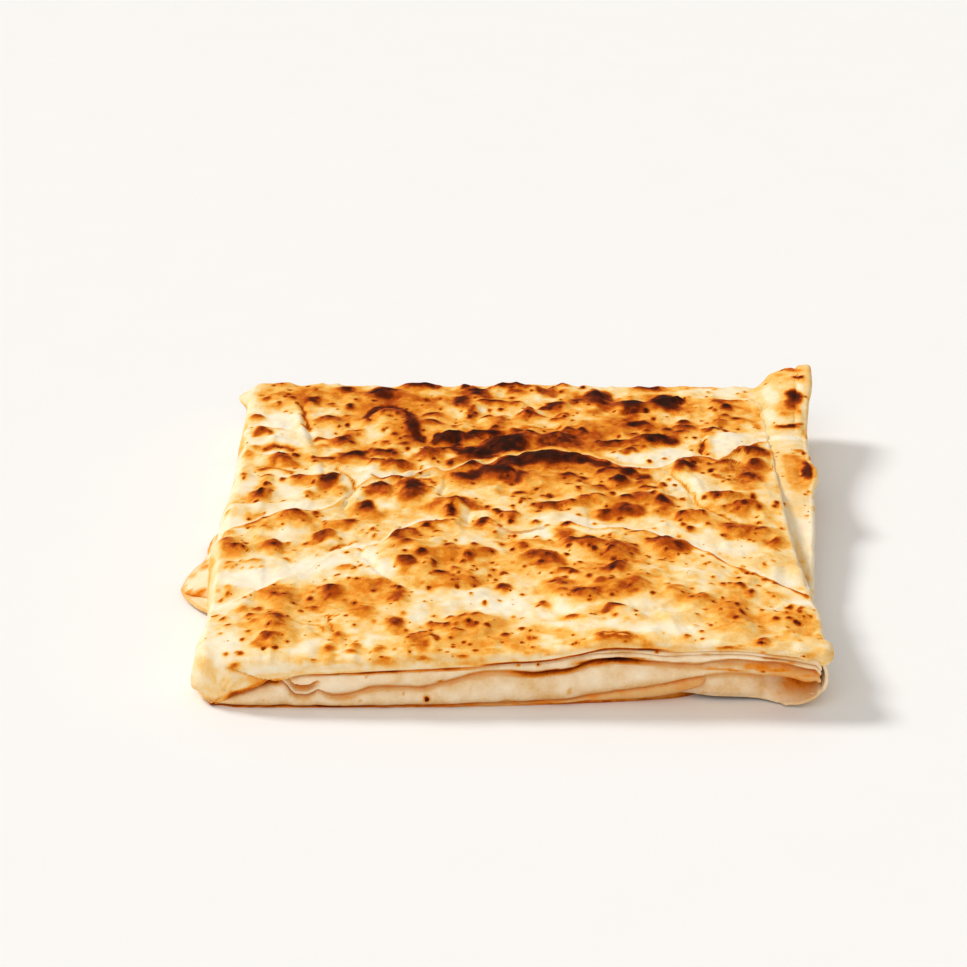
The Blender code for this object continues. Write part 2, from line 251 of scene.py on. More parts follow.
# Baked spots, as (x, y, width, depth, darkness), or (x, y, size, darkness) where they are as wide
# as deep: 0.25 is golden, 0.5 orange, 0.75 brown, 0.95 char.
SPOTS = (
    # round the back and left sides
    (-80, 124, 6, 4, .7), (-66, 129, 9, 5, .85), (-58, 123, 4, 3, .6), (-44, 127, 8, 5, .8),
    (-30, 124, 5, 3, .7), (-22, 130, 7, 4, .85), (-8, 125, 9, 5, .9), (6, 129, 5, 4, .7),
    (18, 124, 8, 4, .85), (30, 129, 10, 5, .8), (44, 124, 5, 3, .65), (54, 130, 7, 4, .8),
    (66, 124, 9, 5, .85), (78, 128, 5, 4, .7), (-101, 104, 4, 7, .5), (-105, 88, 5, 8, .45),
    (-101, 70, 4, 6, .5), (-106, 52, 4, 9, .42), (-101, 36, 5, 6, .5), (-104, 8, 4, 7, .42),
    (-101, -36, 5, 8, .45), (-105, -52, 4, 7, .4), (-101, -70, 4, 6, .42),
    # back left
    (-84, 116, 4, 3, .5), (-91, 106, 1, 2, .6), (-88.5, 103, 2, .6), (-83.5, 98, 1, 2.5, .7),
    (-79, 103, 2, .7), (-77, 96, 1, 1.5, .7), (-70.5, 102, 4, 6, .8), (-71, 99, 2, 3, .95),
    (-65, 98.5, 2.5, .9), (-58.5, 97, 2.5, 3.5, .85), (-60, 113, 5, 4, .85), (-45, 112, 10, 8, .96),
    (-33, 117, 13, 3, .95), (-64, 85, 3.5, .97), (-64, 85, 7, .6), (-67, 83, 1.5, 2, .7),
    (-74, 90, 1, 3, .6), (-73, 75.5, 2, 2.5, .7), (-58, 88, 2, 3, .8), (-58, 79, 1, 2, .9),
    (-61, 76.5, .8, 1.5, .8), (-54, 74, 3, 2, .9), (-50.5, 81, 1.5, 3, .9), (-48, 93, 2.5, 4, .9),
    (-41.5, 92, 3, .98), (-44, 88, 9, 7, .68), (-44.5, 85, 1.5, 3, .8), (-40.5, 84.5, 1, 2.5, .75),
    (-37.5, 85.5, 1.5, 3, .75), (-34.5, 79, 3, 3.5, .97), (-34.5, 73, 3.5, 5, .97), (-33, 67, 2.5, 5, .9),
    (-36, 72, 4, 14, .62), (-37.5, 89, 4, 5, .85), (-45, 72, .8, 1, .6), (-48, 64, 1, 1.5, .6),
    (-44, 63, 2, .7), (-41, 69, 1.5, 2.5, .7), (-38, 62, 2, 3, .7), (-59, 66, 4.5, 10, .78),
    (-59, 63, 2.5, 3, .88), (-55.5, 62.5, 2, 2.5, .85), (-67, 66, 4, 1.8, .85), (-66, 58, 6, .45),
    (-54, 52, 4.5, 6.5, .95), (-57.5, 50, 4, 5.5, .82), (-46, 54, 3.4, 4.4, .94), (-42, 54, 4, 6, .8),
    (-40.5, 52, 1.4, 2, .95), (-36, 58, 1.2, 2, .9), (-46, 45, 4.4, 2.8, .86), (-39.5, 44, 7, 6, .85),
    (-38, 46, 3, 2.5, .96), (-64.5, 48.5, 4, 3, .86), (-74.5, 50, 1.5, 2, .8), (-79.5, 49.5, 3.6, 2.4, .86),
    (-79, 46, 7, 4.4, .62), (-88, 70, 3.4, 3, .78), (-84, 73, 5, 1.4, .5), (-85, 69, 1, 2, .6),
    (-90.5, 85.5, 3.4, 3, .65), (-92, 75, 1.5, 2, .5), (-91.5, 54, 3, .5), (-89, 58, 2, .4),
    (-83.5, 33, 2, .8), (-91.5, 34, 1.5, 4.5, .7), (-73, 31, 3.6, 3.3, .94), (-70, 29, 7, 4.5, .52),
    (-62, 29.5, 5, 9, .86), (-58, 21, 3, 8, .42), (-28, 90, 5.5, 3.2, .84), (-28.5, 82.5, 6, 3.2, .9),
    (-31, 74, 1, .85), (-31, 69, 1.2, 2, .9), (-24, 68, 6, 4.5, .98), (-28, 54, 7, 8, .68),
    (-30, 52, 1.5, 4, .8), (-23.5, 55, 1.4, 2.5, .9), (-26.5, 46.5, 1.5, .85), (-21, 44, 2, .85),
    # back middle
    (-16.5, 116.5, 3, 2.5, .95), (-12, 112, 8, 10, .82), (-17.5, 104, 3.6, 10, .88), (-7, 102.5, 9, 3, .9),
    (2, 101.5, 3, 2, .88), (-13.4, 94, 1.6, 9, .7), (-14.7, 88, 1.4, 2.4, .92), (1, 116.5, 18, 3, .88),
    (2, 112, 5, 4, .7), (13, 112, 5, 7, .7), (15, 115, 2, 1.5, .8), (7.8, 112.5, 1, .8),
    (19, 117.5, 4, 2, .75), (25, 120, 4, 1.5, .8), (32, 108, 10, 15, .86), (31, 107, 3.5, 11, .97),
    (26.5, 116.5, 1.5, 2, .9), (24.5, 103, 4, .75), (16.5, 100, 5.5, 6, .88), (44, 99, 8.5, 13, .98),
    (48.7, 93.3, 1.4, 1.6, .92), (43.5, 108.5, 1, 1.5, .7), (18.5, 90, 3.2, 2.8, .82),
    (16.3, 86, 3, 1.6, .78), (11.7, 97, 2, 1.6, .86), (4.5, 97, 1, .6), (-3.3, 95.5, 1.6, 1.3, .82),
    (-7.5, 95, 1, 2, .6), (7, 90, 6, 5, .7), (6, 92, 4.5, 2.4, .9), (-8.5, 88, 2.8, 2.6, .9),
    (-4, 84, 4, 12, .5), (-5.5, 76.5, 3, 2.6, .9), (-20, 79, 1.6, 2, .72), (21.8, 83, .8, 1.5, .72),
    (-10, 73, 12, 4.4, .92), (3, 74, 5, 3.2, .88), (20, 75, 3.8, 3.6, .88), (25, 74, 3.4, 6, .78),
    (17, 66, 13, 16, .76), (7, 70, 2.4, 3.2, .88), (5, 68, 8, 10, .8), (-2, 62, 14, .99),
    (-13, 54, 11, 8, .985), (-20, 69, 7.5, 4.2, .98), (-19.5, 62, 4, 3.2, .94), (-14, 68, 6, 5, .8),
    (-8, 63, 5, .9), (-22, 57, 6, 5, .8), (45.5, 82, 6.5, 3.2, .92), (41, 84, 3.4, 2.2, .75),
    (48, 75.5, 2.2, 1.6, .78), (43, 73, 3.2, 3, .9), (50, 68.5, 11.5, 7, .97), (36, 64.5, 9.5, 3.2, .95),
    (41, 57.5, 3, 2.5, .86), (35.5, 55, 1, .85), (38, 56, 1, .6), (46, 59, 1.5, .62),
    (47.5, 47.5, 1, 1.3, .8), (53, 51, 1, .7), (32, 58.5, 5, 1.6, .6), (44, 60, 5, 2, .5),
    # back right
    (56, 104, 11.5, 13, .985), (61.5, 105, 3, 5, .92), (50, 118.5, 8, 3, .9), (86, 115, 1, 1.5, .6),
    (83, 113, 1, .5), (65, 117, 1, .4), (65, 108, 1, .4), (75, 116, 1, .4), (72, 113, 1, .4),
    (76, 104, 6.5, 8, .62), (77.5, 97.5, 3, 2.6, .9), (74, 101, 3.4, 3, .74), (81, 105, 3, .6),
    (76, 89.5, 3.4, 2.2, .86), (80.5, 87, 2.4, 2.8, .94), (74, 84, 4.4, 4, .52), (62, 85, 3.2, 3, .96),
    (63, 80, 4.4, 5.4, .86), (59.5, 80.5, 2.4, .82), (60, 74, 3.4, 3, .82), (55.3, 76.5, 2.4, 3.2, .86),
    (72.5, 76.3, 8.5, 3.2, .94), (64.5, 68.5, .9, 1.4, .9), (60, 66, 1, .3), (63, 62, 1, .3),
    # middle leaf, along its edge
    (0, 47, 7, 9, .96), (10, 52, 12, 7, .985), (14, 47, 4, 5, .92), (21, 52, 6, 3.4, .86),
    (-4, 37, 7, 9, .99), (-8, 41, 4, .8), (-14, 43, 4, 3, .88), (-19, 46, 5, 2, .6), (13, 41, 2.4, 2, .6),
    (18.5, 42, 1.2, 1, .7), (19, 36.5, 4, 3.8, .96), (34, 40, 8, 4, .86), (40, 39, 4.6, 5, .92),
    (36, 33, 4.4, 3.2, .9), (24, 34, 2.2, 2, .76), (3, 34, 4, 9, .76), (-16.5, 32, 4, 5.4, .82),
    (58, 44, 6.5, 7, .96), (61, 51, 3, 2.2, .86), (62, 44.5, 1.8, 2.2, .8), (61, 51.5, 8, 2.2, .66),
    (68, 47, 1, 3, .76), (68, 40.5, 1.6, .86), (72.5, 48.5, 5, 2.2, .92), (76, 49, 5.4, 1.2, .78),
    (76, 44, 1, .7), (76, 41, 1, .7), (84, 48.5, 4, 5.4, .96), (84.5, 59, 7, 6, .78),
    (87.5, 57, 3.4, 2.6, .72), (79, 57, 1.3, 1.6, .86), (80.5, 37, 4.6, 4, .82), (84, 36, 1.2, 1.6, .7),
    (70, 35, 1.2, 2, .5),
    # middle leaf, left
    (-85, 17.5, 3, 5.4, .96), (-83.3, 24.5, 1.4, 2.6, .82), (-83.5, 24, 3.4, 26, .4),
    (-81.3, 16, 1.2, 1.6, .6), (-78, 29, 1.4, 1.6, .72), (-67, 25, .8, 1.2, .8), (-68, 17, 2.4, 4, .5),
    (-76.5, 12, 1.2, .5), (-46.5, 31, 2.4, 1, .82), (-41, 31.5, 4.4, 1.6, .86), (-36.8, 31, 1.6, 1.8, .86),
    (-45, 24, 6, 8, .82), (-43, 18, 2.4, 4, .6), (-33.7, 25, 7, 15, .84), (-33.7, 19, 3, 4, .95),
    (-27.5, 24, 1.3, 2, .9), (-23.9, 19, .9, 1.6, .8), (-52.8, 22.5, .9, .8), (-48.3, 9, 4.8, 6, .88),
    (-47, 4, 6.5, 8, .42), (-64.5, 0, 1.8, 2.2, .78), (-72, -1.5, 7, 4.4, .78), (-81.2, -3.7, 1.1, .95),
    (-85, -11, 2, .5), (-80.5, -11.5, 3, 2.4, .62), (-73, -6, 15, 10, .42), (-68.5, -8, .8, 1.6, .72),
    (-61.5, -6, 1, .8), (-61, -8.5, 1, .8), (-53, -6, 6, .84), (-57, -7, 8, 6, .42),
    (-61, -17, 8.5, 8, .72), (-61, -15, 3.4, 2.2, .88), (-61, -18.5, 3, 2, .86), (-67, -22, 1.2, 1.6, .7),
    (-72.6, -23, 1.2, 1.6, .6), (-47.5, -15, 1, .9), (-45.7, -11.5, 1.2, 1.6, .72), (-44.8, -17, 1, .8),
    (-43, -19.5, 1, .8), (-92.5, -23, 5.4, 7, .62), (-88.5, -28.8, 3, 3.4, .84), (-88.5, -28.8, 6, .5),
    (-77.5, -25.5, 5.6, 8, .74), (-77.3, -27.5, 2.4, .92), (-77, -23.5, 2, 1.6, .86), (-92, -15.5, 2, .4),
    (-90, -38, 2.4, 3, .7), (-87, -37, 1, .8), (-82.5, -37.5, 4.6, 2.2, .68), (-72.8, -34, 2.4, 2, .55),
    (-91, -41.5, 1.2, 1, .5), (-89, -42, 1.2, 1, .5), (-86, -42.3, 1.2, 1, .5), (-83, -42, 1.2, 1, .5),
    (-80, -41.5, 1.2, 1, .5), (-53, -30, 1.2, 1.6, .7), (-49, -27, 1, .6), (-95, 2, 1.6, 3, .5),
    # middle leaf, centre
    (-19, 12, 12, 8, .8), (-20, 4, 3, 8, .76), (-20.5, -1.5, 3.4, 2.6, .92), (-26, -4, 8.5, 2.2, .72),
    (-28, -7.5, 3.6, 2.6, .96), (-8.3, 9.3, 1.3, 1.6, .86), (-5.5, 5, 1.7, 2.2, .92),
    (-4, 3.5, 2.4, 1.8, .88), (0.3, 8.8, 1.1, .8), (0, 2, 4.4, 6, .76), (-0.2, -4, 1.7, 2.2, .86),
    (-9, -4, 4, 8, .86), (-3.5, 0, 1.2, 2, .7), (8, -4.5, 1.7, 1.6, .86), (11.5, -7, 1, .6),
    (3, 20.5, 3.4, 2.7, .87), (0, 17, 1.4, 1.7, .8), (4, 14, 1.7, 1.6, .8), (7.4, 11, 1.8, 2.7, .92),
    (12.5, 19, 2.2, 1.7, .76), (10.3, 19.5, 1, .7), (8.3, 23.5, 1, .86), (12.5, 11, 4.6, 5.4, .94),
    (8.7, 4.2, 1.3, 1.6, .9), (9.5, 7, 1, .8), (16, 6.3, 1, .6), (20, 12, 1.7, 1.6, .86),
    (24, 15, 3.3, 3.1, .9), (22, 2.2, 1, .6), (16, 12, 16, 4, .48), (29.7, 26.5, 3.4, 2.8, .94),
    (23, 30.5, 1.7, 1.6, .7), (37, 31, 3.6, 5, .95), (34, 21.5, 1.7, 2.2, .8), (28.5, 17.5, 3.6, 2.8, .92),
    (38.5, 17.5, 3.6, 3.2, .96), (22.3, 22.5, 1.3, 2, .8), (30.5, 5, 5.4, 4.2, .82), (38, 8, 9.5, 9, .74),
    (43, 19, 3.4, 6, .76), (24, 25, 10, 5, .3), (33, 15, 14, 6, .4),
    # middle leaf, right
    (46, 25.5, 4.4, 3.2, .94), (45, 35, 3.4, 4.4, .86), (43.5, 30, 2.4, 2.2, .8), (47.5, 19, 1.7, 2.7, .9),
    (50.2, 13, 3.8, 6.4, .96), (50, 6, 4, 5, .6), (52.5, 16, 5, 1.4, .45), (51, 28, 1.6, 6, .6),
    (55, 27.3, .9, 1.3, .86), (53.3, 33, 1.2, 2, .5), (67.5, 18.7, 2.2, 2.1, .94),
    (71, 18.7, 3.8, 2.7, .92), (70, 19, 12, 4.4, .5), (80.5, 17.5, 1.3, 2.1, .86),
    (88.3, 13.5, 1.2, 3, .76), (77, 9.5, 1.8, 1.7, .94), (74.5, 11.5, 1.3, 2, .8), (78, 11, 10, 7, .62),
    (82, 8, 1.4, 1.6, .86), (70.5, 9.5, .9, 1.6, .7), (56, 2, 2.2, 3, .78), (59.2, 5, 1.7, 2.2, .94),
    (63, 2.5, 1, 2, .9), (56, -4.5, 1.7, 2, .7), (58.3, -7, 2.4, 3.6, .87), (64, -5, 1.2, 1.6, .9),
    (60, 2, 10, 8, .56), (71, -5, 3.6, 6, .82), (76.5, -6, 3, 3.2, .92), (71, -9.5, 1.7, .97),
    (77, -12, 2.2, 2, .72), (82, -9.5, 2.4, 3.2, .97), (80, -11.5, 2.4, 2.2, .9), (81, -3.5, 1.1, .8),
    (88, -7, 1.1, 1, .7), (84.8, -17.5, 2.3, 2.7, .87), (84.8, -17.5, 4, 6.4, .5),
    (76.7, -17.5, 1.1, 1.6, .8), (78.5, -18.8, 1.3, .7), (78, -9.5, 17, 9, .5), (73, -37.5, 1.2, .8),
    (61, -35.5, 1.1, .7), (80, -37.5, 1.1, 1.6, .8), (83, -35, 1.1, .5), (81, -31, 13, .26),
    (35, 0, 1.1, 1.2, .7), (27, -3, 1.1, 1.2, .7),
    # front leaf, behind its middle
    (-34, -12, 6.5, 6, .82), (-37, -16, 3.6, 9, .77), (-34, -23.5, 3.4, 4.4, .77),
    (-24, -11, 2.7, 2.2, .76), (-33.2, -38, 5.6, 9.5, .99), (-34.3, -32, 1.4, 1.7, .95),
    (-28.5, -32, 2.9, 2.6, .88), (-25.5, -38, 3.4, 8, .72), (-22.5, -45, 5.4, 3.2, .94),
    (-20.3, -23, 2.4, 4.4, .77), (-20, -27, 4.4, 7, .52), (-13.8, -32, 2.4, 5.4, .87),
    (-16, -36.5, 1.7, 2.2, .8), (-12.5, -23.5, 1.8, 1.6, .87), (-8, -28, 5.6, 4.4, .72),
    (-18, -42, 3.4, 3, .6), (-13, -43.5, 1.1, .72), (-3.3, -21.7, 1.4, 1.2, .87),
    (-2, -43.8, 1.2, 1.1, .92), (-30.5, -17.8, 2.2, 1.7, .47), (0.8, -13, 1, 1.5, .95), (-1, -13, 1, .65),
    (-5.8, -13, 1, .65), (7.6, -16, 1.4, 1, .9), (17.5, -6, 3.6, 1.9, .92), (17, -13, 3.6, 10, .56),
    (40.5, -10.5, 3.6, 2.2, .92), (7, -19.5, 15, 5, .42), (3, -23.5, 3.4, 4.4, .87),
    (10, -32, 12.5, 13, .77), (8.9, -37, 1.7, .92), (3.7, -39.5, 1.1, .72), (12, -19, 1.2, .9),
    (15.5, -18.5, 1.2, .8), (23, -18, 10.5, 5.4, .87), (24, -22, 4.4, 4.2, .72), (25.7, -20, 1.4, 1.6, .95),
    (26, -26, 1.4, 2.2, .98), (18.2, -24, 1.7, 2.2, .92), (17.3, -29.5, 1.4, .9),
    (31.5, -26.5, 3.3, 3.2, .9), (34.5, -24, 10.5, 12, .68), (38.5, -20.5, 2.3, 2.2, .87),
    (28.5, -29, 1.3, 1.6, .77), (32, -32.5, 1.8, 2.2, .87), (32.5, -38, 5.6, 10, .84),
    (32.5, -38, 2.6, 5, .95), (21.2, -34, 1.3, .87), (27.3, -35, 1.1, .6), (18, -41, 6, 3.2, .94),
    (26, -39.8, 1.1, .8), (38, -29, 1, .87), (43.5, -30, 1, .82), (32, -19.5, 1, .76),
    (29.3, -15.3, 1, .76), (31.5, -16.5, 1, .76), (46.5, -17.5, 6, 7, .9), (51.5, -22, 9.5, 7, .72),
    (75.5, -42.5, 1.2, .8), (79, -46.5, 1.3, .9), (47.5, -32, 1.7, .76), (50.7, -33, 1.1, .87),
    (66.5, -37, 1, .6),
    # front leaf, left
    (-89, -57, 1.7, 4.4, .52), (-89.5, -61, 1.2, 2.2, .72), (-91, -66, 1.2, 2.2, .62),
    (-73, -60, 9.5, 18, .52), (-73.5, -64.5, 4.6, 3.4, .73), (-71, -63.5, 1.5, 1.8, .82),
    (-79, -72, 2.8, 3.2, .67), (-83.5, -73, 3.4, 3, .52), (-81, -78.5, 2.4, 2.2, .87),
    (-72.8, -80, 4.6, 9, .78), (-71.5, -87, 3.6, 2.8, .73), (-74.5, -93, 6.6, 5.2, .83),
    (-79.5, -83.5, 1.8, 2.2, .62), (-73, -80, 11, 20, .42), (-89, -81, 1.7, 1.2, .72),
    (-91.3, -78, 1, 1.6, .62), (-87.5, -86, 1.1, 2, .52), (-89, -90, 1.1, .52), (-82, -94, 1, 1.4, .82),
    (-86.8, -102.5, 1.7, .77), (-81.8, -102.5, 1.8, 2.2, .77), (-84.5, -110, 3, 3.4, .68),
    (-56.5, -57, 5.6, 7, .88), (-56, -58, 2.6, 3, .95), (-56.8, -62.5, 2.4, 2.2, .9),
    (-52.5, -65, 2.8, 3.2, .62), (-63.5, -63.5, 2, 2.3, .84), (-61.5, -70, 2.4, 2.7, .87),
    (-65.2, -73.5, 1.2, 1.6, .77), (-60.7, -57, 1.2, .82), (-59.2, -50, 1, .72),
    (-51.7, -50, 1.2, 1.1, .77), (-55.8, -47.5, 1.2, .77), (-53, -41.5, 4.6, 2.3, .57),
    (-48.2, -41, 1, 1.6, .77), (-46, -41.5, 1, .7), (-44, -54, 12.5, 12, .47), (-35.5, -58, 1.8, .96),
    (-35.5, -63, 4.6, 8, .67), (-47.5, -73, 7.5, 9, .57), (-51.5, -78.2, 1, .87), (-69.2, -79.3, 1, .9),
    (-53.5, -89, 2.6, 6, .72), (-56, -97, 2.8, 8, .72), (-48.7, -84, .9, .8), (-49, -100, 2.4, 2.3, .77),
    (-47.3, -96.5, 2.8, 3.2, .62), (-40, -98, 3.4, 3.2, .62), (-38, -106, 5.6, 4.2, .52),
    (-39.5, -104.5, 1.3, 1.2, .77), (-43, -106, .9, .62), (-60, -106.5, 1.2, 1, .62),
    (-36.3, -82, 3.8, 7.2, .87), (-32.7, -87, 1.2, .82), (-31.7, -94, 1.2, .87), (-27.5, -89, 3.4, 2.3, .9),
    (-30.5, -90, 2.3, 1.8, .87), (-28, -93, 6.6, 10, .62), (-23.2, -92.5, 1.7, .77),
    (-27, -104, 6.6, 4.2, .57),
    # front leaf, middle
    (-24.3, -81.5, 2.3, 3.7, .87), (-22.5, -82.5, 2.3, 2.2, .92), (-20.5, -84, 2, .92),
    (-18.8, -77, 2, 2.7, .9), (-15.3, -78, 2.3, 2.2, .92), (-11.2, -79, 2.3, 2.7, .95),
    (-13.3, -83.5, 2.8, 3.7, .9), (-11.3, -84.3, 1.7, .87), (-8, -85.3, 1.8, .9), (-17.8, -88, 1.4, .87),
    (-16.2, -88.8, 2.1, 2, .94), (-13, -82, 17, 19, .42), (-2.2, -89, 2.3, 1.8, .87),
    (-11.5, -99, 1.4, .77), (-8, -99, 7, 2.3, .42), (-15.5, -103, 2.3, 1.8, .62), (-20, -100.5, 1.1, .62),
    (-22, -99, 1.1, .62), (4.7, -91.5, 1.1, .77), (6.2, -91.2, 1.1, .77), (5.8, -96.3, 1.1, .82),
    (7, -86, 1.1, .52), (17.5, -94.3, 1, .77), (21, -90.5, 1.1, .62), (2.5, -77, 1, .6), (0, -76, 1, .6),
    (-12, -51.5, 3.4, 1.7, .67), (-6, -51, 1.1, .62), (-2, -54, 3.8, 5.7, .84), (-7.3, -45.5, 1, 1.6, .82),
    (-5.5, -48.5, 1.1, .82), (-17.3, -51.7, 1.1, .82), (-18.8, -48, 1.1, .82), (-26.4, -56, 1.2, 1.7, .9),
    (-27.4, -67.3, 1.1, .82), (-13, -62, .9, .82), (-8.7, -66.5, 1.1, 2.1, .82), (-3.9, -64, .9, .72),
    (3, -60, 1.2, 1.1, .9), (9.7, -66, 2.8, 4.2, .77), (17.5, -74.5, 4.6, 3.2, .77),
    (31.2, -69.3, 7.5, 4.7, .97), (31.2, -74.5, 1.1, .77), (37.6, -72, 1, .87), (23.2, -64, .9, .77),
    (15, -62.5, .9, .62), (36, -52, 13.5, 12, .64), (27, -50, 3.6, 5.2, .72), (23, -57, 8.5, 7.2, .73),
    (23, -58.5, 4, 3.4, .87), (15, -52, 7.5, 14, .57), (15.5, -58, 2.4, 2.2, .77), (30.5, -50, 1.7, .82),
    (36.5, -54, 2.3, 2.2, .77), (24, -45.5, 1.7, 2.2, .82), (26, -87, 2.4, 2.2, .77),
    (31, -88, 12.5, 3.4, .62), (34.5, -87.8, 3.6, 1.8, .74), (33.6, -92, 1.6, .62),
    # front leaf, right
    (65.8, -50.3, 1.4, 2.2, .94), (67.8, -50.2, 1.2, .9), (62, -50.5, 1.1, .67), (71, -52, 3.4, 3.2, .93),
    (74, -56, 2.4, 4.4, .87), (77, -50, 1.2, .87), (70.8, -45.7, 1.2, .87), (62.8, -45.7, 1.4, .77),
    (82.4, -50, 1.4, .87), (55.8, -54, 1.2, .57), (50.5, -56, 6.5, 7.2, .47), (58.5, -59.3, 2.1, 1.8, .9),
    (57, -61, 8.5, 7.2, .52), (57.3, -63, 1.2, .72), (64.7, -60, .9, 1.6, .87), (66, -66, 2.4, 2.3, .9),
    (69, -68, 1.6, 2.1, .92), (69.8, -73.5, 1.4, 2.3, .87), (67.8, -77.8, 1.8, .94), (63.5, -72, 1.2, .77),
    (67, -70, 11, 20, .5), (72, -70, 1, .77), (76.5, -70.5, .9, .77), (71.8, -79, 1, .82),
    (85.3, -67, 1.8, 2.8, .87), (88, -71, 1.6, 3.2, .72), (84, -74, 1.2, .77), (80.3, -77.5, 2.1, 1.8, .87),
    (84.2, -78, 1.6, 1.5, .92), (89, -76.5, 1, .82), (91.2, -75.8, 1, .72), (86.2, -80, 1.4, .9),
    (85, -75.5, 17, 12, .42), (81, -60, 1.1, .72), (52, -88, 1.7, .77), (56.6, -86, 1, 1.6, .77),
    (56.6, -90, .9, .72), (61.5, -80, 1.2, 1.1, .47), (59, -80, 1.2, 1.1, .47), (55, -81, 1.2, 1.1, .47),
    (70.5, -87.5, 6.6, 3.3, .37), (74.6, -91, 2.3, 2.2, .88), (74.6, -91, 4.6, 4, .55),
    (79.5, -88, 1.4, 1.3, .47), (86.2, -92, 1.4, 1.3, .47), (92.8, -87, 1.4, 1.3, .37),
    (64, -96, 5.6, 1.5, .62), (42, -98, 1.8, 1.3, .52), (55, -99.5, 1.8, 1.3, .52),
    (76, -102, 3.4, 2.2, .42), (78, -105, 1.8, 1.6, .52), (75, -45, 7, 4, .27), (54.5, -73, 8, 5, .27),
    (48, -74, 6, 5, .27),
)
SPOTS = [spot if len(spot) == 5 else (*spot[:3], *spot[2:]) for spot in SPOTS]

# Brown lines that curve, as (darkness, width, points).
STREAKS = (
    (.97, 6.0, ((-16, 32.5), (-8, 38.0), (0, 43.5), (8, 47.5), (15, 48.8), (24, 48.0))),
    (.9, 4.0, ((24, 48.0), (32, 44.5))),
    (.86, 3.6, ((-51, 84), (-49, 91), (-46, 95), (-42, 95.5), (-38, 92), (-35.5, 85), (-34, 76), (-33, 66))),
    (.85, 1.8, ((-86, 56), (-83, 58.5), (-79, 57.5), (-76, 55))),
    (.55, 1.6, ((-86.5, 38.5), (-83, 40), (-79, 38), (-75, 34.5))),
    (.70, 1.1, ((-30, 31), (-28, 30.5), (-26, 27.5))),
    (.72, 1.6, ((-51.5, 50), (-50.5, 47), (-48, 45.5))),
    (.45, 2.0, ((79, 88), (85, 84), (88, 78))),
    (.70, 0.8, ((-75, 95), (-73.3, 82), (-71.2, 72))),
    (.60, 0.7, ((-60, 38), (-56, 33), (-53.5, 27), (-53, 22))),
    (.62, 0.7, ((-59, -27.5), (-56, -25), (-54, -23), (-50, -21))),
    (.80, 1.0, ((67.4, 66), (66.9, 61), (66.4, 56.5))),
    (.50, 0.7, ((-58, -77), (-54, -77.4))),
    (.50, 0.7, ((-57, -78), (-56.4, -82), (-55, -87))),
    (.45, 0.8, ((-68, -81), (-64, -82.3), (-60, -83), (-58, -87))),
    (.40, 0.9, ((-5, -21), (4, -20.3), (8, -19))),
    (.55, 1.0, ((-10, 73), (-4, 76), (4, 76.5), (10, 78), (18, 79))),
    (.75, 1.8, ((-27, 64), (-22, 66.5), (-16, 70), (-9, 70.5), (-4, 69))),
    (.90, 1.7, ((-26, 58), (-20, 55), (-15, 51.5), (-9, 49.5), (-4, 50))),
    (.55, 1.4, ((68, 36), (72, 33), (78, 31.5), (84, 32))),
    (.45, 1.0, ((54, 40), (58, 30), (60, 22), (61, 14), (64, 9), (68, 3), (73, -1), (77, -4), (82, -4))),
    (.40, 1.4, ((62, -28), (67, -33), (72, -38), (77, -43), (84, -51), (92, -60))),
)

# Pale dough that the griddle never touched, as (x, y, width, depth, strength).
PALE = (
    (-82, 84, 15, 22, .9), (-72, 70, 8, 22, .6), (-66.5, 31, 4, 24, 1.), (-76, 24, 14, 20, .5),
    (-56.5, 27, 5, 14, .9), (-47.5, 16, 9, 12, .7), (-78, 6, 34, 9, 1.), (-70, -14, 12, 6, .5),
    (-82, -50, 26, 16, 1.), (-64, -38, 22, 14, .9), (-70, -27, 12, 10, .6), (-55, -14, 8, 6, .5),
    (-54, -25, 14, 6, .8), (-46.5, -33, 7, 10, .9), (-40, -43, 9, 12, .8), (-37, 53, 5, 6, .8),
    (-30, 110, 14, 8, .5), (-47, 73, 10, 12, .5), (-62, 54, 6, 5, .6), (-50, 38, 8, 7, .9),
    (-9, 86, 6, 9, .5), (32, 95, 16, 5, .4), (38, 51, 24, 10, 1.), (57, 56, 16, 9, 1.),
    (75, 66, 15, 14, 1.), (73, 58, 8, 8, .9), (27, 46, 10, 5, .4), (-15, 5, 6, 16, .8), (55, 33, 6, 12, .7),
    (63, 26, 9, 22, .6), (84, 10, 5, 10, .7), (32, -2, 26, 8, 1.), (8, -12.5, 10, 6, .8),
    (-22, 26, 8, 10, .4), (66, -14, 20, 14, .8), (58, -22, 12, 12, 1.), (76, -26, 20, 10, .8),
    (86, -46, 10, 12, 1.), (75, 2, 10, 6, .6), (5, 26, 10, 6, .4), (-5, -62, 22, 20, .9),
    (-9, -70, 14, 10, .9), (18.5, -47, 6, 10, .8), (42, -68, 22, 14, .5), (24, -80, 26, 8, .5),
    (-60, -97, 10, 14, .6), (-88, -98, 14, 16, .8), (-66, -98, 10, 10, .4), (-20, -62, 12, 10, .5),
    (44, -83, 24, 9, .7), (-78, -102, 12, 12, .5), (60, -93, 20, 6, .5), (4, -104, 30, 6, .4),
    (84, -68, 8, 5, .6), (90, -64, 6, 8, .8), (60, 88, 12, 5, .4), (-84, 62, 12, 6, .6),
    (-90, -8, 8, 12, .6), (47, -24, 5, 4, .3), (42, -40, 14, 8, .4), (-76, 30, 30, 34, .55),
    (-46, 26, 30, 34, .35), (16, 98, 30, 30, .35), (-80, 66, 22, 28, .4), (16, -14, 30, 34, .6),
    (-78, -44, 30, 34, .5), (-50, -112, 80, 8, .6), (30, -105, 60, 6, .6),
)
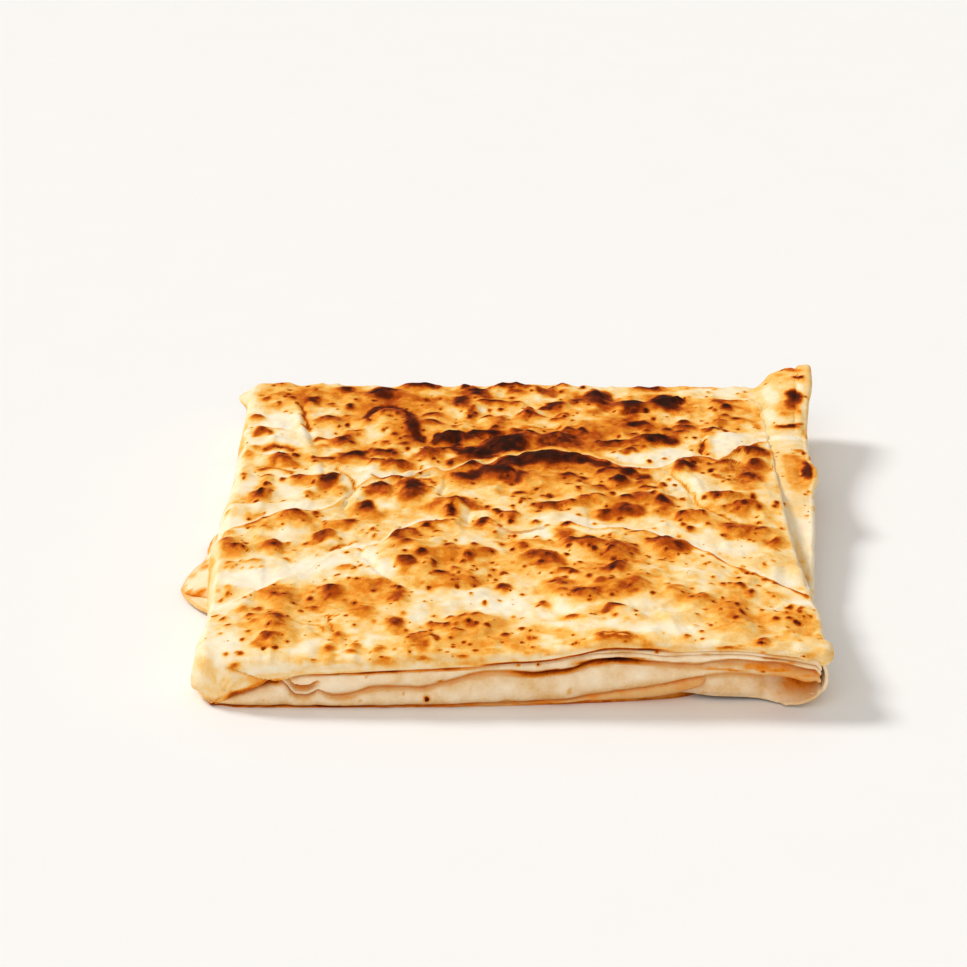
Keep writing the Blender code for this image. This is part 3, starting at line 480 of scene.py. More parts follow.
# Dough that has taken an even golden colour, as (x, y, width, depth, strength).
GOLDEN = (
    (-42, 105, 52, 24, .46), (20, 104, 70, 26, .13), (-10, 80, 50, 20, .22), (42, 76, 46, 30, .46),
    (75, 98, 30, 30, .24), (-78, 104, 28, 26, .45), (18, 62, 36, 34, .4), (-46, 62, 30, 34, .25),
    (16, 26, 30, 34, .2), (-48, 88, 34, 40, .30), (20, 32, 60, 26, .15), (-10, 22, 40, 26, .02),
    (76, 50, 32, 46, .32), (70, 10, 30, 24, .04), (40, 12, 34, 24, .10), (-34, 20, 24, 24, .12),
    (-74, -6, 34, 14, .12), (-30, -25, 24, 30, .12), (-16, -40, 32, 36, .34), (14, -30, 40, 34, .14),
    (34, -44, 40, 28, .14), (-62, -60, 40, 28, .14), (-30, -70, 50, 40, .10), (-70, -82, 24, 28, .12),
    (66, -64, 34, 34, .14), (84, -78, 22, 22, .12), (14, -92, 80, 20, .12), (-40, -98, 50, 16, .10),
    (80, -100, 34, 20, .10),
)

# Puffed places of the face, as (x, y, width, depth, rise).
PUFFS = (
    (-42, 80, 26, 32, 1.5), (-60, 64, 16, 16, .7), (-79, 48, 18, 14, .8), (-88, 71, 10, 10, .6),
    (-24, 70, 16, 12, .9), (0, 62, 26, 18, 1.0), (17, 67, 18, 16, .7), (50, 68, 18, 12, .8),
    (44, 100, 16, 16, .7), (57, 103, 16, 16, .7), (30, 108, 16, 18, .6), (8, 88, 16, 12, .7),
    (-9, 86, 8, 10, .6), (-44, 46, 18, 14, .8), (-28, 52, 14, 14, .8), (-35, 22, 14, 22, 1.1),
    (-46, 22, 12, 14, .8), (-20, 10, 16, 18, .7), (10, 50, 34, 16, .9), (-4, 38, 14, 14, .8),
    (36, 34, 22, 16, .8), (24, 16, 18, 12, .6), (48, 18, 14, 14, .6), (60, 46, 14, 14, 1.0),
    (70, 18, 20, 12, .9), (78, 9, 16, 12, .8), (62, 2, 16, 10, .6), (76, -9, 22, 12, .8),
    (84, 48, 12, 12, .7), (-72, -1, 30, 12, .9), (-60, -17, 16, 10, .6), (-90, -26, 14, 14, .8),
    (-77, -26, 10, 12, .7), (-60, 28, 12, 14, .9), (-84, 18, 10, 14, .7), (-34, -30, 30, 36, 1.6),
    (-12, -30, 18, 14, .6), (10, -32, 20, 18, .7), (28, -22, 30, 18, .8), (32, -44, 26, 20, .7),
    (-48, -10, 16, 12, .6), (-57, -58, 18, 16, .7), (-74, -64, 16, 16, .5), (-74, -86, 16, 22, .6),
    (-14, -82, 22, 18, .6), (31, -69, 14, 9, .5), (67, -68, 18, 22, .5), (84, -76, 16, 12, .4),
    (-46, -72, 16, 14, .4), (50, -20, 18, 10, .6),
)
# Ridges (rise above 0) and creases (below 0) of the face, as (rise, width, points).
WRINKLES = (
    (.9, 4.0, ((-66.5, 20), (-66.5, 32), (-67, 42), (-69, 52), (-72, 62), (-73.5, 75), (-76, 88), (-78, 97))),
    (-.5, 1.8, ((-63.5, 22), (-63.5, 34), (-64.5, 42))),
    (-.6, 2.2, ((-75, 95), (-73.3, 82), (-71.2, 72), (-68, 60))),
    (.5, 3.0, ((-90, 94), (-84, 96), (-78, 97), (-72, 106), (-66, 113))),
    (-.5, 2.0, ((-90, 73), (-82, 74), (-76, 72))),
    (.5, 3.0, ((-92, 62), (-86, 64), (-80, 62), (-74, 56))),
    (-.4, 2.0, ((-92, 46), (-85, 44), (-78, 40), (-70, 41))),
    (.5, 3.0, ((-92, 40), (-84, 40), (-77, 36), (-70, 35))),
    (-.7, 1.4, ((-60, 38), (-56, 33), (-53.5, 27), (-53, 20), (-55.5, 12), (-56, 5), (-53, -1))),
    (.8, 3.4, ((-50, 18), (-52.5, 10), (-52, 2))),
    (.5, 3.2, ((-92, 3), (-84, 6), (-76, 9), (-66, 9), (-60, 12))),
    (-.4, 1.8, ((-93, 10), (-85, 12), (-76, 14), (-68, 13))),
    (-.9, 1.5, ((-42, 25), (-37, 28.5), (-33, 34), (-28, 35.5), (-22.5, 35), (-22.6, 27), (-24, 18))),
    (.9, 2.6, ((-45, 27), (-39, 31), (-34, 37), (-26, 38.5))),
    (-.6, 1.6, ((-14, -4), (-13.5, 6), (-16, 14))),
    (.6, 3.0, ((-17.5, -4), (-16.8, 5), (-18, 14))),
    (-.7, 1.6, ((-59, -27.5), (-54, -23.5), (-48, -20), (-42, -18))),
    (.5, 3.0, ((-70, -30), (-60, -24), (-52, -18), (-44, -16))),
    (-.9, 1.8, ((-48, -27), (-48.5, -33), (-44.5, -40), (-41, -46), (-36, -54), (-32, -58))),
    (-.6, 1.3, ((54, 40), (58, 30), (60, 22), (61, 14), (64, 9), (68, 3), (73, -1), (77, -4), (84, -4))),
    (.7, 2.6, ((57, 41), (61.5, 31), (63.5, 22), (64.5, 15), (69, 8))),
    (-.5, 1.2, ((49, 30), (53.5, 40), (60, 28))),
    (-.5, 1.2, ((49, 30), (52, 18), (60, 28))),
    (.8, 3.4, ((-14, 44.5), (-6, 48), (1, 53.5))),
    (-.8, 1.2, ((67.4, 70), (66.9, 61), (66.4, 56.5))),
    (.6, 2.6, ((69.5, 70), (69, 62), (69.5, 56))),
    (.5, 2.2, ((68, 72), (76, 70), (86, 68))),
    (-.5, 1.4, ((81, 16), (84.5, 10), (87.5, 5))),
    (-.5, 1.4, ((-5, -21), (4, -20.2), (8, -19))),
    (.5, 2.6, ((84, -64), (88, -69), (92, -75), (94, -78))),
    (-.4, 1.4, ((84, -66), (88, -71.5), (92, -78))),
    (-.5, 1.1, ((-58, -77), (-54, -77.4))),
    (-.5, 1.1, ((-57, -78), (-56.4, -82), (-55, -87))),
    (.5, 3.6, ((-68, -88), (-69, -97), (-71, -106))),
    (-.5, 2.4, ((-75, -95), (-76, -103), (-78, -110))),
    (.5, 3.0, ((-62, -100), (-60, -108), (-59, -114))),
    (-.4, 2.0, ((-56, -100), (-53, -108))),
    (-.6, 2.4, ((-28, 62), (-20, 58), (-10, 56), (2, 55))),
    (-.6, 2.2, ((-30, 66), (-20, 72), (-8, 69), (8, 76), (22, 80))),
    (-.5, 2.0, ((26, 92), (36, 90), (48, 92), (58, 93))),
    (-.5, 2.0, ((28, 70), (38, 70), (44, 76), (56, 80))),
)


def slant(y):
    return (y - EYE[1]) / (EYE[2] - PLANE)


def level_height(x, y):
    """Height of the face without its leaves, puffs and wrinkles."""
    toward_back = (y - FACE_FRONT) / FACE_DEPTH
    front_half = mix(front_height(x), middle_height(x), smooth_step(toward_back * 2))
    return mix(front_half, back_height(x), smooth_step(toward_back * 2 - 1))


def from_plane(x, p, lift=0.0):
    """The true y of a place that lies at (x, p) on the plane, for a face at level height + lift."""
    y = p
    for _ in range(3):
        y = p - slant(p) * (level_height(x, y) + lift - PLANE)
    return y


def to_plane(y, z):
    return y + slant(y) * (z - PLANE)


def leaf_of(x, p):
    """0 for the back of the face, 1 for the middle leaf and 2 for the front leaf."""
    return (p < middle_edge(x)).astype(int) + (p < front_edge(x)).astype(int)


def puff_height(x, p):
    """Puffs, wrinkles, blisters under the baked spots, and the dough's own unevenness."""
    bent_x, bent_p = x + 1.6 * grain(x, p, 9, 1), p + 1.6 * grain(x, p, 9, 2)
    rise = 0.60 * grain(x, p, 16, 3) + 0.55 * grain(x, p, 7, 4) + 0.26 * grain(x, p, 3.2, 5)
    rise += 0.55 * crinkle(bent_x, bent_p, 11, 6) + 0.34 * crinkle(bent_x, bent_p, 5.5, 7)

    def lift(spot, spread, height, rim, soft):
        inside, away = near(bent_x, bent_p, spot, spread)
        rise[inside] += height * falling(away, rim, soft)

    for *spot, height in PUFFS:
        lift(spot, 0.6, 1.25 * height, 1.15, 1)
    for at_x, at_p, wide, deep, _ in SPOTS:
        height = min(0.13 * np.sqrt(wide * deep) + 0.14, 1.1)
        lift((at_x, at_p - 0.15 * deep, wide + 1.2, deep + 1.2), 0.8, height, 1.5, 1.2)
    random = np.random.default_rng(SEED)
    for _ in range(BLISTERS):
        at_x, at_p = random.uniform(-94, 92), random.uniform(-112, 118)
        size, height = random.uniform(2.2, 8.0), random.uniform(0.15, 0.55)
        lift((at_x, at_p, size, size * 0.8), 0.8, height, 1.3, 1.1)
    for height, width, points in WRINKLES:
        away = to_route(bent_x * 0.4 + x * 0.6, bent_p * 0.4 + p * 0.6, points)
        rise += height * np.exp(-((away / (0.5 * width)) ** 2))
    return rise


# Each baked spot is a wide golden halo, an orange ring and a dark core, as (growth, margin, shift
# to the front, darkness or None for the spot's own, strength, softness of the rim).
BAKE_LAYERS = (
    (1.8, 5.0, 1.6, 0.40, 0.72, 1.35),
    (1.3, 2.2, 0.8, 0.60, 0.90, 1.15),
    (1.1, 0.5, 0.0, None, 1.0, 1.0),
)
# How dark the dough bakes, by how much heat a place has had.
bake_curve = through((
    (0.0, 0.02), (0.15, 0.18), (0.24, 0.28), (0.30, 0.355), (0.38, 0.45), (0.48, 0.56), (0.63, 0.69),
    (0.77, 0.84), (1.0, 1.0),
))


def darken(toast, inside, dark, mask):
    """Takes the browning at some places towards `dark`, never back from it."""
    now = toast[inside]
    toast[inside] = now + np.clip(dark - now, 0, 1) * mask


def bake_spots(toast, x, p, leaf, bent):
    """Bakes every spot, layer by layer and the palest spots first. A spot stays on its own leaf,
    and its rim is as uneven as its size allows."""
    homes = [int(leaf_of(*np.array(spot[:2], dtype=float))) for spot in SPOTS]
    spots = sorted(zip(SPOTS, homes), key=lambda pair: pair[0][4])
    ragged = [grain(x, p, size, 18 + size) for size in (2, 4, 7)]
    joined = front_step(x) < 0.25
    heat = mix(0.85, 1.02, rising(p, -100, 150))
    uneven = 0.97 + 0.16 * grain(x, p, 2.4, 26) + 0.10 * grain(x, p, 1.2, 27)
    for layer, (grow, margin, drop, target, mask, soft) in enumerate(BAKE_LAYERS):
        for (at_x, at_p, wide, deep, own), home in spots:
            size = np.sqrt(wide * deep)
            kind = 0 if size < 2.1 else 1 if size < 5 else 2
            small = min(size / 4.5, 1.0)
            grown = grow * (1 - 0.20 * falling(at_p, 12, 30)) if layer else grow
            extra = margin * small
            area = (at_x, at_p - drop * small, grown * wide + extra, grown * deep + extra)
            arch = np.clip(wide / deep - 0.5, 0, 1) * (0.35 + 0.55 * abs(np.sin(7.3 * at_x + 3.1 * at_p)))
            inside, away = near(*bent[kind], area, 0.95, arch if kind else 0.0, 1.6 if kind else 1.0)
            same = (leaf[inside] == home) | (joined[inside] & (home > 0) & (leaf[inside] > 0))
            away = away + (0.10, 0.26, 0.34)[kind] * ragged[kind][inside] + 0.14 * ragged[0][inside]
            dark, part, rim = own, mask, soft
            if target is not None:
                dark = min(target * (0.4 + 0.7 * own), own)
                part = np.clip(mask * (0.90 + 0.45 * ragged[1][inside]), 0, 1)
            elif kind:
                dark = own * uneven[inside] * (0.83 + 0.21 * falling(away, 1.05, 0.95))
                rim = soft - 0.22 if kind == 2 else soft
            darken(toast, inside, dark * heat[inside], same * part * falling(away, 1.4, rim))


def browning(x, p, leaf):
    """How baked the face is, from 0 to 1."""
    bend_x = 1.3 * grain(x, p, 5.0, 11) + 0.7 * grain(x, p, 2.0, 12)
    bend_p = 1.8 * grain(x, p, 5.0, 13) + 0.9 * grain(x, p, 2.0, 14)
    bent = [(x + share * bend_x, p + share * bend_p) for share in (0.18, 0.6, 1.0)]
    fine_x, fine_p = bent[2]
    toast = 0.185 + 0.08 * grain(x, p, 14, 15) + 0.09 * grain(x, p, 5, 16) + 0.07 * grain(x, p, 2.3, 28)
    for spot in GOLDEN:
        inside, away = near(fine_x, fine_p, spot, 0.75)
        toast[inside] += 0.5 * spot[4] * falling(away, 1.4, 1)
    for spot in PALE:
        inside, away = near(fine_x, fine_p, spot, 0.75)
        toast[inside] *= 1 - 0.85 * spot[4] * falling(away, 1.35, 0.9)
    bake_spots(toast, x, p, leaf, bent)
    random = np.random.default_rng(SEED + 1)
    for _ in range(FRECKLES):
        at_x, at_p = random.uniform(-94, 94), random.uniform(-104, 118)
        size, dark = random.uniform(0.9, 2.0), random.uniform(0.35, 0.8)
        inside, away = near(*bent[0], (at_x, at_p, size, size * 1.3), 0.9)
        darken(toast, inside, dark, rising(toast[inside], 0.12, 0.14) * falling(away, 1.4, 0.9))
    patchy = 0.82 + 0.3 * grain(x, p, 3.0, 17)
    for dark, width, points in STREAKS:
        away = to_route(fine_x * 0.6 + x * 0.4, fine_p * 0.6 + p * 0.4, points)
        darken(toast, ..., dark, patchy * falling(away, width * 0.85, width * 0.6))
        darken(toast, ..., 0.5 * dark, falling(away, width * 2.4, width * 2.4))
    return toast


def edge_browning(x, p, leaf):
    """The thin baked line along the raised edge of each leaf, and the shelter right behind it."""
    line = np.zeros(np.shape(x))
    shelter = np.zeros(np.shape(x))
    for number, edge, step in ((1, middle_edge, middle_step), (2, front_edge, front_step)):
        inward = edge(x) - p
        patchy = 0.55 + 0.45 * grain(x, p * 0.2, 7, 20 + number)
        shown = rising(step(x), 0, 0.8)
        baked = 0.42 if number == 1 else mix(0.12, 0.42, rising(x, -35, 40))
        line += shown * patchy * baked * (leaf == number) * falling(inward, 2.6, 2.2)
        shelter += shown * (leaf == number - 1) * smooth_step((3.5 + inward) / 3.0)
    return line, np.clip(shelter, 0, 1)


def bake(x, p, leaf):
    toast = browning(x, p, leaf)
    line, shelter = edge_browning(x, p, leaf)
    toast = 1 - (1 - toast) * (1 - line)
    return bake_curve(np.clip(toast * (1 - 0.45 * shelter), 0, 1))


# ---- meshes ----------------------------------------------------------------------------------


def finish_piece(name, points, faces, toast, fold, material):
    """Makes a piece from blocks of millimetre points, of faces and of each point's browning, which on
    some pieces also holds painted shade, and share of fold colour, and puts it in the frame."""
    mesh = bpy.data.meshes.new(name)
    points = np.concatenate(points) * MM + np.array(PLAN_ZERO)
    mesh.from_pydata(points, [], [tuple(face) for block in faces for face in block])
    mesh.shade_smooth()
    for label, blocks in (("toast", toast), ("fold", fold)):
        values = np.concatenate([np.ravel(block) for block in blocks])
        mesh.attributes.new(label, "FLOAT", "POINT").data.foreach_set("value", values.astype(np.float32))
    mesh.materials.append(material)
    piece = bpy.data.objects.new(name, mesh)
    bpy.context.scene.collection.objects.link(piece)
    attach(piece, "root")
    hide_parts("gozleme")


def quads(first, second):
    """Faces between two rings or rows of vertex numbers, the second one after the first."""
    after_first, after_second = np.roll(first, -1), np.roll(second, -1)
    return np.stack([first, after_first, after_second, second], axis=-1)


def fan(first, second, middle):
    """Faces from each edge of a ring to the point numbered middle."""
    return np.stack([first, second, np.full(len(first), middle)], axis=-1)


def grid_faces(rows, columns, start=0):
    number = start + np.arange(rows * columns).reshape(rows, columns)
    corners = (number[:-1, :-1], number[:-1, 1:], number[1:, 1:], number[1:, :-1])
    return np.stack(corners, axis=-1).reshape(-1, 4)


def border_of(rows, columns):
    """A grid's border, anticlockwise from its first corner, as row and column numbers."""
    across, up = np.arange(columns - 1), np.arange(rows - 1)
    j = np.concatenate([0 * across, up, 0 * across + rows - 1, rows - 1 - up])
    i = np.concatenate([across, 0 * up + columns - 1, columns - 1 - across, 0 * up])
    return j, i


def shell(name, face, rings, toast, fold, material):
    """A closed piece: a grid for its upper face, rings round the border and a fan below."""
    rows, columns = face[0].shape
    points = [np.stack([axis.ravel() for axis in face], axis=-1)]
    faces = [grid_faces(rows, columns)]
    j, i = border_of(rows, columns)
    above = j * columns + i
    count = rows * columns
    for ring in rings:
        below = count + np.arange(len(above))
        points.append(np.stack(ring, axis=-1))
        faces.append(quads(above, below)[:, ::-1])
        above, count = below, count + len(above)
    points.append(points[-1].mean(axis=0)[None, :])
    faces.append(fan(np.roll(above, -1), above, count))
    finish_piece(name, points, faces, (*toast, [0.0]), (*fold, [1.0]), material)


def unit(vectors):
    return vectors / (np.linalg.norm(vectors, axis=-1, keepdims=True) + 1e-9)


def sheet(name, surface, thickness, toast, fold, material):
    """A closed thin piece: a surface given as arrays of x, y, z and a copy below it, with a rounded
    edge between them."""
    place = np.stack(np.broadcast_arrays(*surface), axis=-1).astype(float)
    rows, columns = place.shape[:2]
    half = thickness / 2
    normal = unit(np.cross(np.gradient(place, axis=1), np.gradient(place, axis=0)))
    j, i = border_of(rows, columns)
    out = unit(place[j, i] - place[np.clip(j, 1, rows - 2), np.clip(i, 1, columns - 2)])
    sides = [(place + turn * normal * half).reshape(-1, 3) for turn in (1, -1)]
    border = j * columns + i
    size = rows * columns
    ring = 2 * size + np.arange(len(border))
    faces = (grid_faces(rows, columns), grid_faces(rows, columns, size)[:, ::-1],
             quads(border, ring)[:, ::-1], quads(ring, size + border)[:, ::-1])
    toast, fold = (np.broadcast_to(values, place.shape[:2]) for values in (toast, fold))
    finish_piece(name, (*sides, place[j, i] + out * half * 0.8), faces,
                 (toast, toast, toast[j, i]), (fold, fold, fold[j, i]), material)


# ---- the upper sheet -------------------------------------------------------------------------

# A leaf edge's rows, as (place along y, share of the step), for the edge inside the front piece.
EDGE_ROWS = (
    (-1.5, 1.0), (-0.8, 1.02), (-0.3, 0.92), (-0.05, 0.7), (0.0, 0.45), (-0.2, 0.2), (-0.8, 0.02),
    (-0.3, 0.0), (0.5, 0.0), (1.3, 0.0),
)
ROLL_LEVELS = 26


def roll(reach, drop, lip_radius, tuck):
    """A side's profile, as (reach, height below the face) at each level: a quarter round, a
    rounded lip and a tuck under it."""
    angle = np.linspace(0, np.pi / 2, ROLL_LEVELS + 1)[1:]
    levels = [(reach * np.sin(a) ** 0.92, drop * (1 - np.cos(a) ** 0.85)) for a in angle]
    levels += [
        (reach - 0.06 * lip_radius, drop + 0.45 * lip_radius),
        (reach - 0.45 * lip_radius, drop + 0.85 * lip_radius),
        (reach - 1.1 * lip_radius, drop + 1.0 * lip_radius),
        (reach - 0.5 * tuck, drop + 0.7 * lip_radius),
        (reach - tuck, drop + 0.3 * lip_radius),
    ]
    return levels


def out_of(x, y):
    """Unit vectors that point out of a closed anticlockwise ring, smoothed round its corners."""
    run_x = np.roll(x, -3) - np.roll(x, 3)
    run_y = np.roll(y, -3) - np.roll(y, 3)
    out_x, out_y = run_y, -run_x
    for _ in range(12):
        out_x = (np.roll(out_x, 1) + 2 * out_x + np.roll(out_x, -1)) / 4
        out_y = (np.roll(out_y, 1) + 2 * out_y + np.roll(out_y, -1)) / 4
    length = np.hypot(out_x, out_y)
    return out_x / length, out_y / length


def front_drop(x, top):
    return np.maximum(top - lip_line(x), 1.3)


def side_profiles(kind, x, y, top):
    """The four sides' profiles at each border point: front, right, back and left."""
    drop = front_drop(x, top)
    depth = np.clip(y - front_line(x), 1.8, 9.5)
    left_low = mix(3.0 + 0.5 * grain(y, 0 * y, 16, 30), 1.2, falling(y, -84, 14))
    left_reach = np.maximum(left_rim(y) - left_out(y), 1.5) + 0.3 * grain(y, 0 * y, 20, 31)
    right_reach = 1.5 + 0.4 * falling(y, -60, 20)
    right_drop = 1.5 + 1.0 * falling(y, -62, 24) + 3.2 * falling(y, -88, 10)
    front = roll(depth, drop, 0.75, 6.0)
    right = roll(right_reach, right_drop, 0.5, 5.0)
    left = roll(left_reach, top - left_low, 0.8, 5.0)
    back_reach = 3.0 + 0.5 * grain(x, 0 * x, 18, 32)
    back = roll(back_reach, top - 6.2 - 0.7 * grain(x, 0 * x, 22, 33), 0.8, 6.0)
    if kind == "front":
        back = roll(0.35 + 0 * x, middle_step(x) * 0.78, 0.32, 2.6)
    else:
        front = roll(-0.5 + 0 * x, 1.5 + 0 * x, 0.3, 2.0)
    return front, right, back, left


def skirt(kind, rim, shares):
    """The rings that run down from a face's border."""
    x, y, z = rim
    out_x, out_y = out_of(x, y)
    for side_levels in zip(*side_profiles(kind, x, y, z)):
        reach, drop = (
            sum(share * value for share, value in zip(shares, values)) for values in zip(*side_levels)
        )
        yield x + out_x * reach, y + out_y * reach, z - drop


def border_shares(x, y):
    """How much each side counts at each border point, from its distance to the side's own run."""
    blend = 9.0
    j, i = border_of(*x.shape)
    rim_x, rim_y = x[j, i], y[j, i]
    away = (rim_y - y[0, i], x[j, -1] - rim_x, y[-1, i] - rim_y, rim_x - x[j, 0])
    shares = smooth_step((blend - np.array(away)) / blend) + 1e-9
    return shares / shares.sum(axis=0)


def along_edge(edge, u):
    """The edge's places at the shares u of the way from the left rim to the right rim."""
    p = edge(mix(-92.0, 90.0, u))
    for _ in range(6):
        p = edge(mix(left_rim(p), right_rim(p), u))
    return p


def face_grid(kind, columns, counts):
    """The face of one half of the upper sheet: arrays of x, plane place p, and leaf number."""
    u = np.linspace(0, 1, columns)
    x_guess = mix(-92.0, 90.0, u)
    on_front, on_middle = along_edge(front_edge, u), along_edge(middle_edge, u)
    if kind == "front":
        rim_top = level_height(x_guess, front_line(x_guess) + 6)
        rim_top = rim_top + front_step(x_guess) + middle_step(x_guess) - 2.0
        depth = np.clip(1.1 * front_drop(x_guess, rim_top) + 1.6, 2.8, 8.5)
        start = to_plane(front_line(x_guess) + depth, rim_top)
        rows = [mix(start, on_front + EDGE_ROWS[0][0], t) for t in np.linspace(0, 1, counts[0])[:-1]]
        share = [1.0] * len(rows)
        number = [2] * len(rows)
        shown = rising(front_step(x_guess), 0, 0.5)
        evenly = np.linspace(EDGE_ROWS[0][0], EDGE_ROWS[-1][0], len(EDGE_ROWS))
        for even, (offset, part) in zip(evenly, EDGE_ROWS):
            rows.append(on_front + mix(even, offset, shown))
            share.append(part)
            number.append(2 if part > 0.3 else 1)
        rows += [mix(rows[-1], on_middle, t) for t in np.linspace(0, 1, counts[1])[1:]]
    else:
        rows = [mix(on_middle - 9.0, back_line(x_guess) - 0.4, t) for t in np.linspace(0, 1, counts[0])]
        share, number = [], []
    rest = len(rows) - len(share)
    share += [0.0] * rest
    number += [1 if kind == "front" else 0] * rest
    p = np.array(rows)
    x = mix(left_rim(p), right_rim(p), u[None, :])
    share, number = (np.repeat(np.array(values)[:, None], columns, axis=1) for values in (share, number))
    return x, p, share, number


def ring_browning(kind, level, ring, rim, along, shares):
    """Browning of one ring of the sides, with painted shade in the pinched corner's creases. On the back
    and the left it runs on from the face, as on a sheet that is folded down after baking."""
    x, y, z = ring
    rim_x, rim_p, rim_leaf = rim
    front, right, back, left = shares
    place_x = mix(x, rim_x - along, left)
    place = mix(to_plane(y, z), rim_p + back * along, np.clip(back + left, 0, 1))
    toast = bake(place_x, place, rim_leaf)
    patchy = rising(grain(y, z * 2, 13, 34) + 0.5 * grain(y, z * 2, 5, 35), 0.25, 0.6)
    spread = left * (0.13 + 0.30 * patchy) * rising(level, 0, 8) * rising(y, -98, 26)
    toast = np.maximum(toast, spread) * (1 - (left * 0.25 + right * 0.3) * rising(level, 0, 6))
    if level > ROLL_LEVELS - 2:
        toast = toast * 0.5 + front * lip_toast(x)
    # In the pinched corner the ring also takes the painted shade of the creases.
    if kind == "front":
        toast = np.maximum(toast, (front + left) * crease_toast_and_shade(x, y, z))
    return np.clip(toast, 0, 1)


def upper_sheet(kind, columns, counts, material):
    """One half of the upper sheet: the front piece holds the front and middle leaves, the back
    piece lies under the middle leaf's edge and runs to the back."""
    x, p, share, leaf = face_grid(kind, columns, counts)
    lift = front_step(x) * share
    inward = middle_edge(x) - p
    if kind == "front":
        lift = lift + middle_step(x) * (1 + 0.35 * falling(inward, 5, 5))
        lift = lift + 0.35 * front_step(x) * falling(front_edge(x) - p, 5, 5) * (share > 0.3) * share
    else:
        lift = lift - 0.9 * rising(inward, 0, 4) - 1.6 * rising(inward, 1.2, 2.4)
    settle = 2.0 * smooth_step(1 - (p - FACE_FRONT) / 120)
    y = from_plane(x, p, lift - settle)
    z = level_height(x, y) + lift - settle + puff_height(x, p)
    j, i = border_of(*x.shape)
    rim = (x[j, i], y[j, i], z[j, i])
    shares = border_shares(x, y)
    rings = [shape_ring(kind, ring, level, shares) for level, ring in enumerate(skirt(kind, rim, shares))]
    if kind == "front":
        low_x, low_y, low_z = rings[-1]
        rings.append((low_x, low_y, low_z - 4.0 * shares[2]))
    toast, fold = [bake(x, p, leaf)], [0 * x]
    along, before = 0.0, rim
    for level, ring in enumerate(rings):
        along = along + np.sqrt(sum((a - b) ** 2 for a, b in zip(ring, before)))
        before = ring
        toast.append(ring_browning(kind, level, ring, (x[j, i], p[j, i], leaf[j, i]), along, shares))
        fold.append(side_tone(level, shares))
    shell("top_sheet_" + kind, (x, y, z), rings, toast, fold, material)


def lip_toast(x):
    """The thin baked line along the front lip."""
    middle = 0.50 * rising(x, -16, 14) * falling(x, 52, 14)
    corner = 0.36 * falling(x, -66, 6)
    return middle + corner + 0.10 + 0.08 * grain(x, 0 * x, 7, 41)


def side_tone(level, shares):
    return shares[0] * 0.30 * rising(level, 7, 10) + shares[3] * 0.15 + shares[2] * 0.35 + shares[1] * 0.2


def shape_ring(kind, ring, level, shares):
    """Unevenness of the sides, and the pinched corner at the front left."""
    x, y, z = ring
    front, right, back, left = shares
    down = rising(level, 0, 8)
    x = x + left * down * 0.5 * grain(y, z, 11, 50) + right * down * 0.2 * grain(y, z, 9, 52)
    y = y + back * down * 0.5 * grain(x, z, 12, 51)
    if kind == "front":
        ripple = 0.35 * grain(x, z, 9, 53) + 0.18 * grain(x, z, 4, 54)
        upper, lower = creases(x, y, z)
        y = y + front * (down * ripple + upper + lower)
        tucked = falling(y, -88, 8) * np.clip(4.0 - z, 0, 4)
        x = x + left * (lower + 1.5 * tucked) + 1.3 * down * falling(y, -84, 8) * falling(x, -88, 5)
    else:
        knob = np.exp(-(((y - 115) / 5.0) ** 2) - (((z - 14.6) / 2.6) ** 2))
        x = x - 5.0 * knob * falling(x, -84, 5)
    return x, y, z


def creases(x, y, z):
    """Depth of the two creases of the pinched corner at each place of the front and left sides."""
    below = upper_crease(x) - z
    upper = 1.9 * rising(x, -89, 7) * falling(x, -69.5, 3)
    upper = upper * rising(below, 0, 0.35) * np.exp(-np.clip(below, 0, None) / 3.0)
    below = lower_crease(x) - z
    lower = 1.5 * falling(x, -81, 4) * falling(y, -84, 10)
    return upper, lower * rising(below, 0, 0.4) * np.exp(-np.clip(below, 0, None) / 4.0)


def crease_toast_and_shade(x, y, z):
    """Browning and painted shade in the pinched corner: a dark line of painted shade in the upper crease,
    painted shade in the recess below it, and golden browning along the lower crease.
    """
    upper, lower = creases(x, y, z)
    # A dark line of painted shade in the upper crease, where the fold above overhangs it.
    line = 0.42 * rising(upper, 0, 0.9) * smooth_step((1.1 - np.abs(upper_crease(x) - 0.5 - z)) / 1.0)
    # Painted shade in the recess below the upper crease, deepest at its right end.
    shade = 0.42 * rising(x, -85, 9) * rising(upper, 0, 0.9)
    gold = 0.22 * rising(lower, 0, 0.6)
    return np.maximum(np.maximum(line, shade), gold)


# ---- the folds under the upper sheet -----------------------------------------------------------


